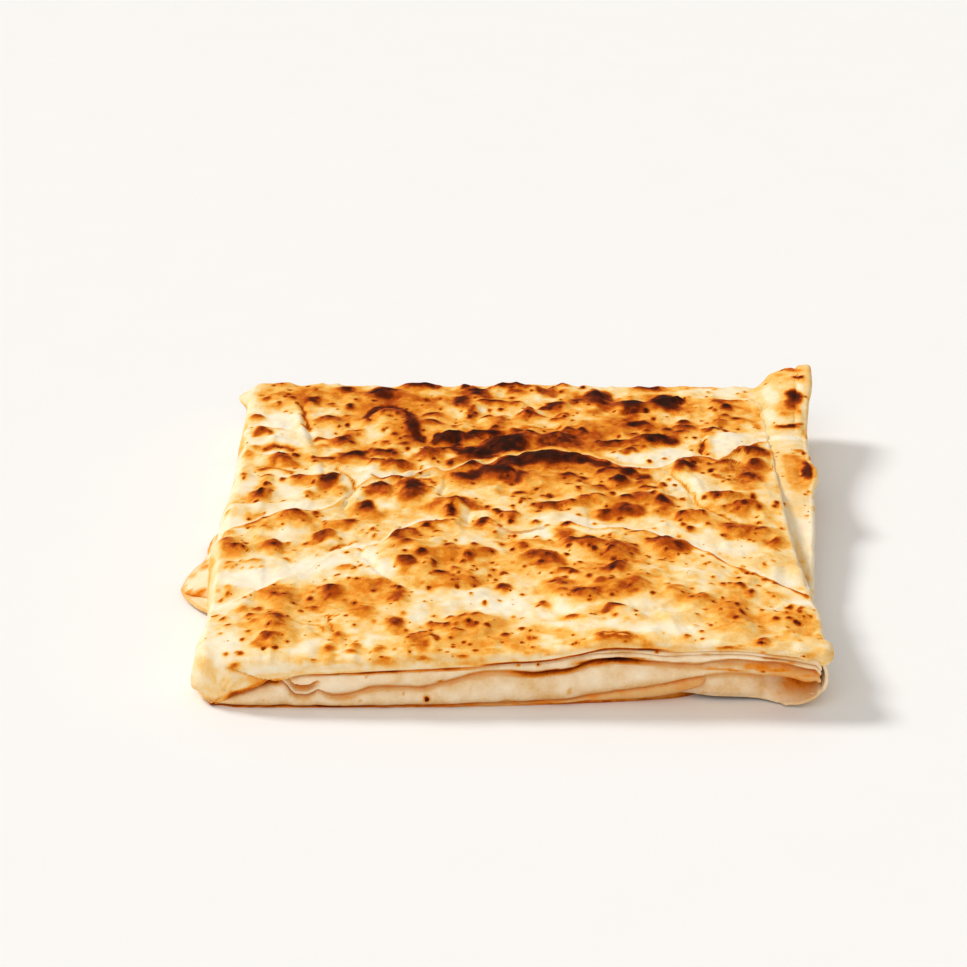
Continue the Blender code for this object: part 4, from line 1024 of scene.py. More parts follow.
def packet_outline():
    """The packet's outer line as an anticlockwise loop: x, y, outward x and y, and the four sides'
    shares. The front right corner is the sharp one."""
    step, corner, sharp = 0.62, 4.0, 2.2
    x_front = np.arange(PACKET_LEFT + corner, PACKET_RIGHT - sharp, step)
    y_side = np.arange(-96.5, 116.6, step)
    turn = np.linspace(0, np.pi / 2, int(corner * np.pi / 2 / step) + 1)[1:-1]
    s, c = np.sin(turn), np.cos(turn)
    left_turn, right_turn = PACKET_LEFT + corner, PACKET_RIGHT - corner

    def back(x):
        return back_line(x) + BACK_FOLD

    sides = (
        (x_front, front_line(x_front), 0, -1), (PACKET_RIGHT, y_side, 1, 0),
        (x_front[::-1], back(x_front[::-1]), 0, 1), (PACKET_LEFT, y_side[::-1], -1, 0),
    )
    corners = (
        (PACKET_RIGHT - sharp, front_line(PACKET_RIGHT - sharp) + sharp, sharp, s, -c),
        (right_turn, back(right_turn) - corner, corner, c, s),
        (left_turn, back(left_turn) - corner, corner, -s, c),
        (left_turn, front_line(left_turn) + corner, corner, -c, -s),
    )
    loop = []
    for side, (x, y, radius, out_x, out_y) in zip(sides, corners):
        for run in (side, (x + radius * out_x, y + radius * out_y, out_x, out_y)):
            loop.append(np.stack(np.broadcast_arrays(*run), axis=-1))
    x, y, out_x, out_y = np.concatenate(loop).T
    shares = np.clip([-out_y, out_x, out_y, -out_x], 0, 1) ** 2
    return x, y, out_x, out_y, shares / shares.sum(axis=0)


def bulge(outer, high, low, back_top, back_low, count=11):
    """One fold's levels from its top groove to its bottom one, as (reach, height)."""
    levels = []
    for t in np.linspace(0.02, 0.98, count):
        s = 2 * t - 1
        inset = back_top if s < 0 else back_low
        levels.append((outer - inset * (1 - (1 - abs(s) ** 2.2) ** 0.5), mix(high, low, t)))
    return levels


def fold_lines(x, y, shares):
    """Heights of the fold lines all round: upper lip, thin layer, second, third and fourth."""
    wave = 0.5 * grain(x * 0.5 + y, y * 0.5, 17, 60)
    heights = (
        (lip_line, 14.0, 6.6, 3.2), (layer_line, 12.2, 5.8, 2.9), (second_line, 10.4, 4.6, 2.4),
        (third_line, 6.8, 2.4, 1.2), (fourth_line, 3.2, 1.2, 0.7),
    )
    lip, layer, second, third, fourth = (
        shares[0] * line(x) + shares[1] * (right + wave) + shares[2] * (back + 0.5 * wave) + shares[3] * left
        for line, right, back, left in heights
    )
    layer = np.minimum(layer, lip - 0.3)
    second = np.minimum(second, layer - 0.3)
    third = np.minimum(third, second - 0.4)
    fourth = np.clip(np.minimum(fourth, third - 0.2), 0.15, None)
    return lip, layer, second, third, fourth


def fold_levels(x, y, lines, shares):
    """The stack's levels from its top down, as (reach, height, strength of the painted shade in the groove).
    """
    lip, layer, second, third, fourth = lines
    front, right, back, left = shares
    foot = front * foot_line(x) + right * (2.4 + 9.0 * falling(y, -80, 12)) + back * 2.2 + left * 2.0
    wobble = 0.40 * grain(x + y * 0.7, y, 15, 61) + 0.22 * grain(x + y * 0.7, y, 6, 67)
    hollow = second_hollow(x, front)
    high = np.clip((lip - layer) / 3.0, 0.15, 1)
    levels = []

    def add(groove, *more):
        levels.extend((reach, height, groove) for reach, height in more)

    add(1.0, (-14.0, lip - 0.4), (-9.0, lip - 0.6), (-5.0, lip - 0.7))
    add(0.0, *bulge(-0.8 + wobble * 0.6, lip - 0.75, layer + 0.1, 2.0 * high, 1.2 * high, 7))
    add(0.5, (-1.6 - 1.2 * high, layer))
    add(0.0, *bulge(-1.2 + wobble, layer - 0.1, second + 0.25, 2.4, 1.8, 16))
    add(0.5, (-2.4 + wobble, second - 0.1))
    add(1.0, (-3.2 - 5.5 * hollow, second - 0.2), (-3.4 - 5.0 * hollow, second - 0.5))
    add(0.0, *bulge(-0.8 + wobble * 0.8, second - 0.7, third + 0.2, 3.4, 2.2, 17))
    add(0.7, (-3.6, third - 0.1))
    add(0.0, *bulge(-2.0 + wobble, third - 0.2, fourth + 0.1, 1.4, 1.8, 7))
    add(0.6, (-foot * 0.5 - 2.0, fourth - 0.08), (-foot, fourth * 0.75), (-foot, 0.0 * x))
    return levels


def second_hollow(x, front):
    """Where the second fold's groove is deep, and painted darker as shade."""
    return front * rising(x, 4, 14) * falling(x, 46, 12)


def lower_folds(material):
    """The stack under the upper sheet: folded layers that run round the packet."""
    x, y, out_x, out_y, shares = packet_outline()
    lines = fold_lines(x, y, shares)
    third = lines[3]
    tucked = 1.4 * falling(x, -83, 6) * falling(y, -84, 10)
    shallow = 1 - 0.8 * np.clip(4 * shares[0] * shares[1], 0, 1) * (x > 0)
    levels = fold_levels(x, y, lines, shares)
    points, toast = [], []
    for number, (reach, height, groove) in enumerate(levels):
        reach = np.where(reach > -9, reach * shallow, reach)
        ring_x, ring_y = x + out_x * (reach - tucked), y + out_y * (reach - tucked)
        low = falling(height, np.maximum(third, third_line(x) - 0.2), 0.3) * rising(x, 56, 8)
        ring_y = ring_y + 0.92 * low * np.clip(-86 - ring_y, 0, None)
        mouth, over, rolled = curl(ring_x, height)
        ring_y = ring_y + shares[0] * (mouth * (1.0 + 0.9 * over) - 1.3 * rolled)
        if 3 < number < len(levels) - 3:
            ripple = 0.30 * grain(ring_x + ring_y, height * 0.5, 5, 62)
            ripple = ripple + 0.18 * grain(ring_x + ring_y, height * 0.35, 2.2, 63)
            ring_x, ring_y = ring_x + out_x * ripple, ring_y + out_y * ripple
        points.append(np.stack((ring_x, ring_y, np.maximum(height, 0.0)), axis=-1))
        baked = fold_toast_and_shade(ring_x, ring_y, height, lines, shares)
        # Painted shade in each groove of the stack, darkest in the second fold's deep hollow.
        toast.append(np.maximum(baked, groove * (0.42 + 0.16 * second_hollow(x, shares[0]))))
    ring = np.arange(len(x))
    after = np.roll(ring, -1)
    starts = len(x) * np.arange(len(levels))
    total = len(x) * len(levels)
    faces = [quads(start + ring, start + len(x) + ring)[:, ::-1] for start in starts[:-1]]
    faces += [fan(ring, after, total), fan(starts[-1] + after, starts[-1] + ring, total + 1)]
    points += [points[0].mean(axis=0)[None, :], points[-1].mean(axis=0)[None, :]]
    finish_piece("lower_folds", points, faces, (*toast, [0.2, 0.3]), [np.ones(total + 2)], material)


def curl(x, z):
    """How far each place of the front is in the open mouth of the second fold's small curl at the
    front left, how high in it, and how far it is on the rolled edge under the mouth."""
    over = z - second_line(x)
    wide = np.exp(-(((x + 62.9) / 4.1) ** 4))
    mouth = rising(over, 0.5, 0.5) * falling(over, 3.1, 0.5) * wide
    rolled = hump(over, 0.3, 0.5) * rising(x, -70, 2) * falling(x, -55, 4)
    return mouth, over, rolled


# Baked marks on the front folds, as (x, height, width, depth, darkness). The four marks at x -84 to -73 just
# under the lip at the front left are painted shade under it.
FOLD_SPOTS = (
    (-26, 3.6, 1.4, 2.0, .97), (-22, 9.0, 1.6, .9, .6), (-10, 15.0, 1.2, .8, .5), (7.5, 14.6, 1.0, 1.0, .9),
    (1.5, 14.4, .8, .8, .5), (13, 15.8, .8, .8, .4), (17, 5.5, 1.2, 2.4, .3), (43, 18.4, 1.2, 1.0, .6),
    (62, 12.9, 9, .6, .5), (67, 12.4, 5, .5, .62), (73, 13.6, 7, 1.6, .46), (75, 12.6, 1.4, .8, .62),
    (80, 13.2, 6, 1.0, .5), (88, 11.9, 5, .5, .42), (66, 15.6, 4, .9, .5), (86, 9.6, 9, .6, .4),
    (-56, 18, 1, 1, .3), (-44, 10.8, .8, .8, .3), (-28, 12.6, .8, .8, .3), (-75, 3.0, 1, 1, .25),
    (-46, 3.0, 1, .8, .3), (-33, 5.2, .7, .7, .35), (23, 14.6, 9, 2.0, .66), (31, 15.4, 9, 1.2, .6),
    (16, 12.2, 7, 1.0, .5), (-84, 5.2, 5, .9, .62), (-75.5, 8.6, 7, 1.0, .8), (-79, 7.0, 3, .7, .5),
    (-73.4, 9.2, 5, 2.0, .8), (37, 16.0, 6, .8, .5), (55, 19.2, 7, .7, .42), (58, 17.9, 3, .7, .4),
    (77, 17.0, 5, .9, .44), (82, 15.6, 4, .6, .4), (49, 17.2, 4, .5, .3), (-60, 1.2, 9, .7, .26),
    (-10, 1.0, 16, .7, .3), (-30, 1.0, 6, .9, .42), (-2, 2.0, 3, .8, .36), (-39, 6.2, 1.0, .6, .3),
    (-67, 5.0, .7, 1.6, .22),
)


def fold_toast_and_shade(x, y, z, lines, shares):
    """Browning of the folded sides: faint at the edges, with a few marks, and painted shade: dark in
    the grooves along the front under the lip and the second fold, in the curl's mouth, in some marks
    and toward the bottom of the third fold, with a painted highlight on the curl's rolled edge."""
    lip, _, second, third, fourth = lines
    front = shares[0]
    uneven = 0.75 + 0.25 * grain(x + y, 0 * z, 6, 66)
    toast = 0.06 + 0.08 * grain(x + y, z, 9, 64) + 0.06 * grain(x + y, z, 3.5, 68)
    toast = toast + (0.18 * hump(z, third, 0.6) + 0.12 * hump(z, second, 0.4)) * uneven
    # Painted shade just under the second fold's edge.
    under = np.where(z < second, second - z, 99.0)
    toast = toast + front * 0.17 * np.exp(-under / 1.5)
    # Painted shade in the groove under the second fold, darkest in its deep hollow.
    hollow = rising(x, -10, 22) * falling(x, 46, 12)
    toast = toast + front * uneven * (0.10 + 0.78 * hollow) * falling(under, 1.9, 0.7)
    # Painted shade in the groove under the lip, strongest at the front left.
    under = np.where(z < lip, lip - z, 99.0)
    left_part = rising(x, -66, 8) * falling(x, -8, 14)
    toast = toast + front * uneven * (0.14 + 0.46 * left_part) * falling(under, 2.3, 0.6)
    # The curl's rolled edge is made paler as a painted highlight, and its mouth darker as painted shade.
    mouth, over, rolled = curl(x, z)
    toast = toast * (1 - 0.8 * front * rolled) + front * mouth * (0.30 + 0.4 * rising(over, 1.3, 0.8))
    toast = toast + 0.28 * rising(grain(x + y, z * 2, 12, 65), 0.45, 0.5) * (1 - front)
    turned = front * smooth_step((third - z + 0.1) / 0.4) * rising(x, -5, 30)
    toast = toast + turned * (0.06 + 0.12 * falling(z, fourth + 0.7, 0.7))
    # Darker toward the bottom of the third fold: painted shade, partly also browning where it met the
    # griddle.
    toast = toast + front * 0.15 * falling(z, 0.5 * (second + third), 0.5 * (second - third))
    toast = toast + front * 0.07 * rising(x, 55, 6) * falling(z, second - 0.8, 1.0)
    toast = toast + front * 0.10 * rising(x, 72, 12) + 0.15 * falling(z, 1.6, 1.6)
    for at_x, at_z, wide, deep, dark in FOLD_SPOTS:
        away = np.hypot((x - at_x) / (wide / 2), (z - at_z) / (deep / 2)) + 0.3 * grain(x, z, 1.6, 69)
        darken(toast, ..., dark, front * falling(away, 1.4, 0.8))
        darken(toast, ..., 0.5 * dark, 0.7 * front * falling(away, 2.2, 1.4))
    return np.clip(toast, 0, 1)


def underside(material):
    """The flat base, baked like the upper face, as a thin sheet under the stack."""
    v, u = shares_of(150, 130)
    x = mix(-93.4, 90.8, u)
    y = mix(front_line(x) + 3.4, back_line(x) + 0.6, v)
    y = y + (foot_line(x) - 2.0) * (1 - v) ** 6
    corner = 4.0 * (np.abs(2 * u - 1) ** 14) * (np.abs(2 * v - 1) ** 14)
    x = x - corner * np.sign(2 * u - 1)
    y = y - corner * np.sign(2 * v - 1)
    z = 0.9 + 0.28 * grain(x, y, 12, 70) + 0.12 * grain(x, y, 5, 71)
    toast = browning(-x, y * 0.97 + 3, np.where(y > 30, 0, np.where(y > -20, 1, 2)))
    sheet("underside", (x, y, z), 1.1, toast, 0.0, material)


# ---- the strip folded over on the right ----------------------------------------------------------

# The strip's outer line by y, and the height of its rim there.
strip_out = through((
    (-66, 91.6), (-60, 92.6), (-38, 95.0), (-14, 97.4), (4, 99.4), (14, 100.3), (26, 101.0), (31, 101.8),
    (35, 103.2), (41, 103.6), (47, 103.0), (53, 102.6), (62, 102.6), (71, 103.0), (92, 105.0), (98, 106.0),
    (119, 108.4), (127, 108.8),
))
strip_rim = through((
    (-66, 11.0), (-38, 11.4), (-14, 12.4), (4, 13.8), (14, 14.8), (26, 15.8), (35, 17.8), (47, 18.0),
    (53, 17.8), (62, 17.6), (71, 18.0), (92, 20.8), (98, 22.4), (110, 24.2), (119, 25.0), (127, 25.6),
))
# Height of the strip where it comes out from under the upper sheet, and half way across.
strip_root = through((
    (-66, 11.4), (-40, 12.6), (-12, 13.6), (10, 14.8), (30, 16.2), (50, 17.2), (80, 17.8), (105, 18.2),
    (127, 18.4),
))
strip_half = through((
    (-66, 11.0), (-40, 11.4), (-12, 12.2), (10, 14.0), (26, 16.2), (40, 17.4), (50, 17.6), (64, 18.2),
    (76, 19.6), (92, 21.2), (110, 22.6), (127, 23.0),
))

# Baked and pale spots of the strip, as (x, y, width, depth, darkness) on the places' plane.
STRIP_SPOTS = (
    (101.9, 111.0, 4.6, 11, .97), (100.6, 103.0, 4.0, 10, .7), (99, 98, 7, 14, .38), (97.5, 93, 4, 4, .46),
    (104.2, 128.2, 3.6, 1.6, .86), (103.4, 136.0, 6, 3.0, .58), (99, 131, 4, 2, .4),
    (97.6, 80.3, 7.4, 1.9, .82), (99.6, 81.6, 2.6, 1.8, .92), (94, 78.4, 3, 1.2, .5),
    (101.6, 82.4, 2.4, 1.6, .6), (104.2, 71.5, 1.6, 4, .55), (101.9, 55.6, 1.2, 2.0, .8),
    (103.5, 52, .9, 2.4, .95), (97.4, 47, 8, 18, .44), (101.9, 42, 2.6, 14, .9), (101.2, 36.5, 2.6, 6, .7),
    (99.5, 46, 3, 10, .52), (98.6, 40, 8, 26, .42), (97.6, 52, 6, 3, .5), (100, 57.5, 4, 2.4, .52),
    (97, 30, 5, 12, .38), (101, 21.8, 1.0, 1.6, .66), (101.6, 17.5, .9, 1.4, .4),
    (101.6, 8.2, 1.4, 4.2, .52), (98.3, 1.4, .9, 1.0, .5), (91.6, 11.5, 1.0, 2.2, .72),
    (96, 12, 5, 20, .22), (102.8, 97, 1.2, 9, .5), (103.3, 75, 1.0, 8, .55), (96.2, -58, 1.2, 6, .48),
    (99, 62, 6, 6, .22), (93.6, -30, 2.4, 30, .26), (94.6, -47, 2, 6, .34),
)
PALE_STRIP = (
    (104.5, 110, 2.2, 34, .9), (94, 112, 5, 22, .6), (93, 92, 4, 12, .7), (97, 70, 14, 5, .8),
    (97, -8, 8, 26, .5), (99, 64, 8, 4, .5), (96, 88, 6, 5, .4),
)


def strip_browning(x, p):
    """How baked the strip is: pale spots first, then a golden halo round each baked one."""
    fine_x = x + 0.7 * grain(x, p, 4.0, 81) + 0.35 * grain(x, p, 1.6, 82)
    fine_p = p + 1.0 * grain(x, p, 4.5, 83) + 0.5 * grain(x, p, 1.8, 84)
    toast = 0.16 + 0.06 * grain(x, p, 9, 85) + 0.05 * rising(p, 86, 14) + 0.08 * rising(p, 5, 30)
    for *spot, strength in PALE_STRIP:
        inside, away = near(fine_x, fine_p, spot, 0.75)
        toast[inside] *= 1 - 0.9 * strength * falling(away, 1.35, 0.9)
    for at_x, at_p, wide, deep, dark in STRIP_SPOTS:
        inside, away = near(fine_x, fine_p, (at_x, at_p - 1, 1.7 * wide + 2, 1.7 * deep + 3), 0.75)
        darken(toast, inside, 0.55 * dark, 0.8 * falling(away, 1.3, 1.3))
    for at_x, at_p, wide, deep, dark in sorted(STRIP_SPOTS, key=lambda spot: spot[4]):
        inside, away = near(fine_x, fine_p, (at_x, at_p, wide + 0.6, deep + 0.6), 0.9)
        darken(toast, inside, dark, falling(away, 1.4, 0.9))
    return toast


def side_strip(material):
    """The strip of dough folded over the right side: it comes out from under the upper sheet's
    edge, crosses to its rim, and turns down and under."""
    v, u = shares_of(270, 54)
    under, crossed, turned = 0.12, 0.62, 0.80  # where each part of the width ends
    across = np.clip((u - under) / (crossed - under), 0, 1)
    end = mix(119.5, 125.5, rising(across, 0, 0.35)) - 2.5 * rising(across, 0.5, 0.5)
    y = mix(-66.0, end, v)
    inner = right_rim(y) - 3.0
    outer, rim, root, half = strip_out(y), strip_rim(y), strip_root(y), strip_half(y)
    raised = rising(y, 72, 8)
    band = raised * 0.7 * rising(across, 0.80, 0.06) - raised * 0.5 * hump(across, 0.77, 0.04)
    curl_up = 1.5 * hump(y, 41, 5.5) * (rising(across, 0.70, 0.2) - 0.6 * hump(across, 0.66, 0.12))
    fold_back = raised * 1.0 * falling(y, 88, 12) * np.sin(np.pi * across) ** 0.6

    hidden = np.clip(u / under, 0, 1)
    x = np.where(u < under, mix(inner, inner + 3.8, hidden), mix(inner + 3.8, outer, across))
    arched = root * (1 - across) * (1 - 2 * across) + 4 * half * across * (1 - across)
    arched = arched + rim * across * (2 * across - 1)
    lowest = np.minimum(level_height(inner, y) - 3.2, root)
    z = np.where(u < under, mix(lowest, root, smooth_step(u / under)), arched + band + curl_up + fold_back)

    angle = np.clip((u - crossed) / (turned - crossed), 0, 1) * np.pi
    thick = 1.0 + 0.3 * rising(y, 90, 20)
    x = np.where(u > crossed, outer + thick * np.sin(angle) * 0.9, x)
    z = np.where(u > crossed, rim + band + curl_up - thick * (1 - np.cos(angle)), z)
    inward = u > turned
    back = np.clip((u - turned) / (1 - turned), 0, 1)
    x = np.where(inward, mix(outer, np.minimum(outer - 6.0, 94.0), back), x)
    z = np.where(inward, mix(rim - 2 * thick, mix(rim - 3.2, 9.0, 0.5), smooth_step(back)), z)

    fine = 0.30 * grain(x, y, 8, 86) + 0.16 * grain(x, y, 3.2, 87) + 0.25 * crinkle(x, y, 7, 89)
    z = z + fine * (u > 0.1)
    x = x + 0.25 * grain(y, z, 7, 88) * (across > 0.6)
    crease = y - 73 - 0.45 * (x - 92) + 0.06 * (x - 92) ** 2
    z = z - 0.9 * hump(crease, 0, 1.3) * (u < crossed)
    toast = strip_browning(x, to_plane(y, z))
    toast = np.where(inward, toast * 0.4, toast)
    # Painted highlight: the strip's outer rim is made paler, less so at its raised back end.
    painted_rim_highlight = rising(across, 0.93, 0.05) * (u < turned)
    toast = toast * (1 - 0.4 * painted_rim_highlight * (1 - 0.8 * raised))
    sheet("side_strip", (x, y, z), 1.1, toast, 0.15 + 0.45 * inward, material)


def right_hem(material):
    """A second thin edge that shows just outside the upper sheet's right edge."""
    v, u = shares_of(230, 10)
    y = mix(-86.0, 120.0, v) + 0 * u
    inset = 1.6 * falling(y, -70, 14) + 1.0 * rising(y, 95, 15)
    edge = right_rim(y) + 2.2 - inset + 0.4 * grain(y, 0 * y, 24, 90)
    x = mix(edge - 6.0, edge, u)
    z = level_height(x, y) - 2.3 - 0.5 * u - 1.6 * falling(y, -60, 26) + 0.15 * grain(x, y, 6, 91)
    toast = 0.10 + 0.08 * grain(x, y, 9, 92)
    sheet("right_hem", (x, y, z), 0.9, toast, 0.3, material)


# ---- small folded ends --------------------------------------------------------------------------

flap_tip = through((
    (-46, -94.5), (-42, -96.2), (-39, -98.0), (-34.4, -101.8), (-26.6, -106.0), (-22.7, -107.2),
    (-17.7, -106.8), (-10.6, -105.0), (-5, -102.6), (2, -101.2), (12, -101.0), (18, -99.6), (24, -96.0),
))
# The flap's two layers, as (name, height, arch, reach past the tip line, first y, last y).
FLAP_LAYERS = (
    ("left_flap_under", 1.0, 1.2, 0.0, -45, 15), ("left_flap_over", 2.9, 3.4, 0.5, -33, 23),
)
FLAP_SPOTS = (
    (-100, -12, 4, 6, .46), (-104, -16, 3, 6, .34), (-101, -6, 3, 8, .4), (-101.5, -28.4, 7, 1.6, .55),
    (-104.4, -27, 3, 1.2, .5), (-100.5, 12, 1.6, 9, .46), (-98.6, 14, 1.4, 8, .3),
)


def left_flap(material):
    """The folded end that pokes out low on the left: a flattened roll of two layers."""
    v, u = shares_of(110, 34)
    for name, low, rise, pull, start, end in FLAP_LAYERS:
        y = mix(start, end, v) + 0 * u
        tip = flap_tip(y) + pull + 0.25 * grain(y, 0 * y, 5, 95)
        x = mix(-90.0, mix(-93.0, tip, rising(v, 0, 0.12) * falling(v, 1, 0.06)), u)
        z = low + rise * (1 - u**2.2) + 0.40 * grain(x, y, 8, 96) * u + 0.2 * crinkle(x, y, 5, 94)
        z = z + (-0.5 * u**5 if pull else 0.5 * u**4)
        # The flap's even browning and its large share of side colour are partly painted shade for where it
        # lies low under the packet; its orange edges are baking.
        toast = 0.12 + 0.09 * grain(x, y, 6, 97) + 0.16 * rising(u, 0.9, 0.1)
        for *spot, dark in FLAP_SPOTS:
            inside, away = near(x, y, spot, 0.8)
            darken(toast, inside, dark, falling(away, 1.4, 1.1))
        sheet(name, (x, y, z), 1.2, np.clip(toast, 0, 1), 0.6, material)


# The cuff's section from its top round to its foot, as (x, height).
CUFF = (
    (89.8, 16.2), (92.6, 15.2), (93.9, 12.8), (94.3, 9.2), (93.7, 6.8), (92.1, 5.1), (89.8, 3.9),
    (87.0, 3.2), (83.6, 3.4),
)


def corner_cuff(material):
    """The outside of the layer that turns round at the front right."""
    at = np.linspace(0, 1, len(CUFF))
    cuff_x, cuff_z = (through(tuple(zip(at, values))) for values in zip(*CUFF))
    v, u = shares_of(46, 60)
    start = mix(-98.6, -95.0, rising(u, 0.8, 0.2)) + 0.4 * grain(u * 30, 0 * u, 5, 100)
    y = mix(start, -60.0 - 16 * rising(u, 0.25, 0.6) + 1.5 * grain(u * 30, 0 * u, 6, 108), v)
    y = y + 4.4 * rising(u, 0.66, 0.3) * (1 - v)
    x = cuff_x(u) - 0.9 * v - 2.2 * rising(v, 0.6, 0.4) + 0.25 * grain(y, u * 14, 8, 101)
    z = cuff_z(u) + 0.25 * grain(u * 30, y, 7, 103) - 0.8 * v * (u < 0.4)
    # Painted shade on the cuff away from its front rim, inside the hollow.
    inside = rising(v, 0.05, 0.1) * falling(v, 0.9, 0.5) * rising(u, 0.25, 0.2)
    toast = 0.10 + 0.06 * grain(x, y + z, 6, 102) + 0.14 * inside
    sheet("corner_cuff", (x, y, z), 1.1, toast, 0.6, material)


pocket_low = through((
    (40, 1.0), (47, 1.8), (54, 2.2), (60, 2.0), (71, 1.7), (77, 1.2), (83, 1.1), (86, 1.7), (88, 2.5),
    (90, 3.7), (91.8, 5.2), (93.2, 7.6),
))


def under_layer(material):
    """The layer set back under the lifted end of the third fold, and the hollow that it turns into
    at its right end."""
    v, u = shares_of(60, 200)
    x = mix(40.0, 92.6, u) + 0 * v
    z = mix(np.minimum(third_line(x) + 0.2, 10.8), pocket_low(x), v)
    wall = mix(-92.0, -94.8, rising(x, 46, 16)) + 0.3 * grain(x, z, 9, 105) + 0.14 * grain(x, z, 3.5, 104)
    wall = wall + 1.2 * rising(v, 0.75, 0.25) * falling(x, 84, 8)
    wall = mix(wall, -99.4, rising(x, 74, 17))
    y = wall + 7.5 * rising(x, 70, 18) * (1 - v**3)
    ripple = hump(x, 82.5, 0.9) - 0.8 * hump(x, 81.0, 0.6)
    y = y - 0.6 * ripple * rising(v, 0.45, 0.3)
    toast = 0.13 + 0.05 * grain(x, z, 7, 107) + 0.06 * grain(x, z, 2.5, 106)
    # Painted shade in the hollow at the right end.
    toast = toast + 0.50 * (rising(x, 78, 9) * falling(v, 1.15, 0.8))
    # Painted shadow along the top, under the lifted end of the third fold.
    toast = toast + 0.30 * falling(v, 0.35, 0.35) * rising(x, 48, 12)
    sheet("under_layer", (x, y, z), 1.0, np.clip(toast, 0, 1), 1.0, material)


# ---- the finish ------------------------------------------------------------------------------


class Wire:
    """A number that changes over a surface: sums and products on it add the nodes for them."""

    def __init__(self, finish, socket):
        self.finish, self.socket = finish, socket

    def _do(self, operation, *values):
        node = self.finish.node("ShaderNodeMath", {"operation": operation}, dict(enumerate(values)))
        return Wire(self.finish, node.outputs[0])

    def __add__(self, other):
        return self._do("ADD", self, other)

    def __sub__(self, other):
        return self._do("SUBTRACT", self, other)

    def __rsub__(self, other):
        return self._do("SUBTRACT", other, self)

    def __mul__(self, other):
        return self._do("MULTIPLY", self, other)

    __radd__ = __add__
    __rmul__ = __mul__

    def largest(self, other):
        return self._do("MAXIMUM", self, other)

    def within(self, low=0.0, high=1.0):
        return self._do("MINIMUM", self.largest(low), high)

    def step(self, low, high):
        """0 below low, 1 above high, smooth between them."""
        settings = {"interpolation_type": "SMOOTHSTEP"}
        values = {"Value": self, "From Min": low, "From Max": high}
        return Wire(self.finish, self.finish.node("ShaderNodeMapRange", settings, values).outputs[0])


class Finish:
    """A material and the nodes that are added to it."""

    def __init__(self, name):
        self.material = bpy.data.materials.new(name)
        self.material.use_nodes = True
        self.tree = self.material.node_tree
        self.shader = self.tree.nodes["Principled BSDF"]

    def node(self, kind, settings=None, values=None):
        node = self.tree.nodes.new(kind)
        for key, value in (settings or {}).items():
            if key == "stops":
                self.set_stops(node.color_ramp, value)
            else:
                setattr(node, key, value)
        for key, value in (values or {}).items():
            self.join(node.inputs[key], value)
        return node

    def set_stops(self, ramp, stops):
        while len(ramp.elements) < len(stops):
            ramp.elements.new(0.5)
        for element, (place, colour) in zip(ramp.elements, stops):
            element.position = place
            element.color = (*linear(colour), 1.0)

    def join(self, target, value):
        value = value.socket if isinstance(value, Wire) else value
        if isinstance(value, bpy.types.NodeSocket):
            self.tree.links.new(value, target)
        else:
            target.default_value = value

    def shade(self, **values):
        """Sets or links the shader's own sockets; a socket's spaces are written as _."""
        for name, value in values.items():
            self.join(self.shader.inputs[name.replace("_", " ")], value)

    def number(self, socket):
        return Wire(self, socket)

    def attribute(self, name):
        return self.number(self.node("ShaderNodeAttribute", {"attribute_name": name}).outputs["Fac"])

    def noise(self, place, size, detail=2.0, roughness=0.55):
        """Soft noise with spots about `size` millimetres across."""
        values = {"Vector": place, "Scale": 1.0 / (size * MM), "Detail": detail, "Roughness": roughness}
        return self.number(self.node("ShaderNodeTexNoise", {}, values).outputs[0])

    def blend(self, share, first, second, mode="MIX"):
        settings = {"data_type": "RGBA", "blend_type": mode}
        return self.node("ShaderNodeMix", settings, {0: share, 6: first, 7: second}).outputs[2]


def linear(colour):
    """Screen colour, 0 to 255, as the light values that a shader takes."""
    c = np.array(colour, dtype=float) / 255
    return tuple(np.where(c <= 0.04045, c / 12.92, ((c + 0.055) / 1.055) ** 2.4))


# The browning at which each colour of the face stands, and of the folded sides.
BROWN_STOPS = {"orange": 0.46, "brown": 0.62, "dark": 0.82, "char": 1.00}
FACE_STOPS = {"raw": 0.00, "cream": 0.12, "gold": 0.24, "amber": 0.34, **BROWN_STOPS}
SIDE_STOPS = {"side": 0.00, "side_gold": 0.22, **BROWN_STOPS}


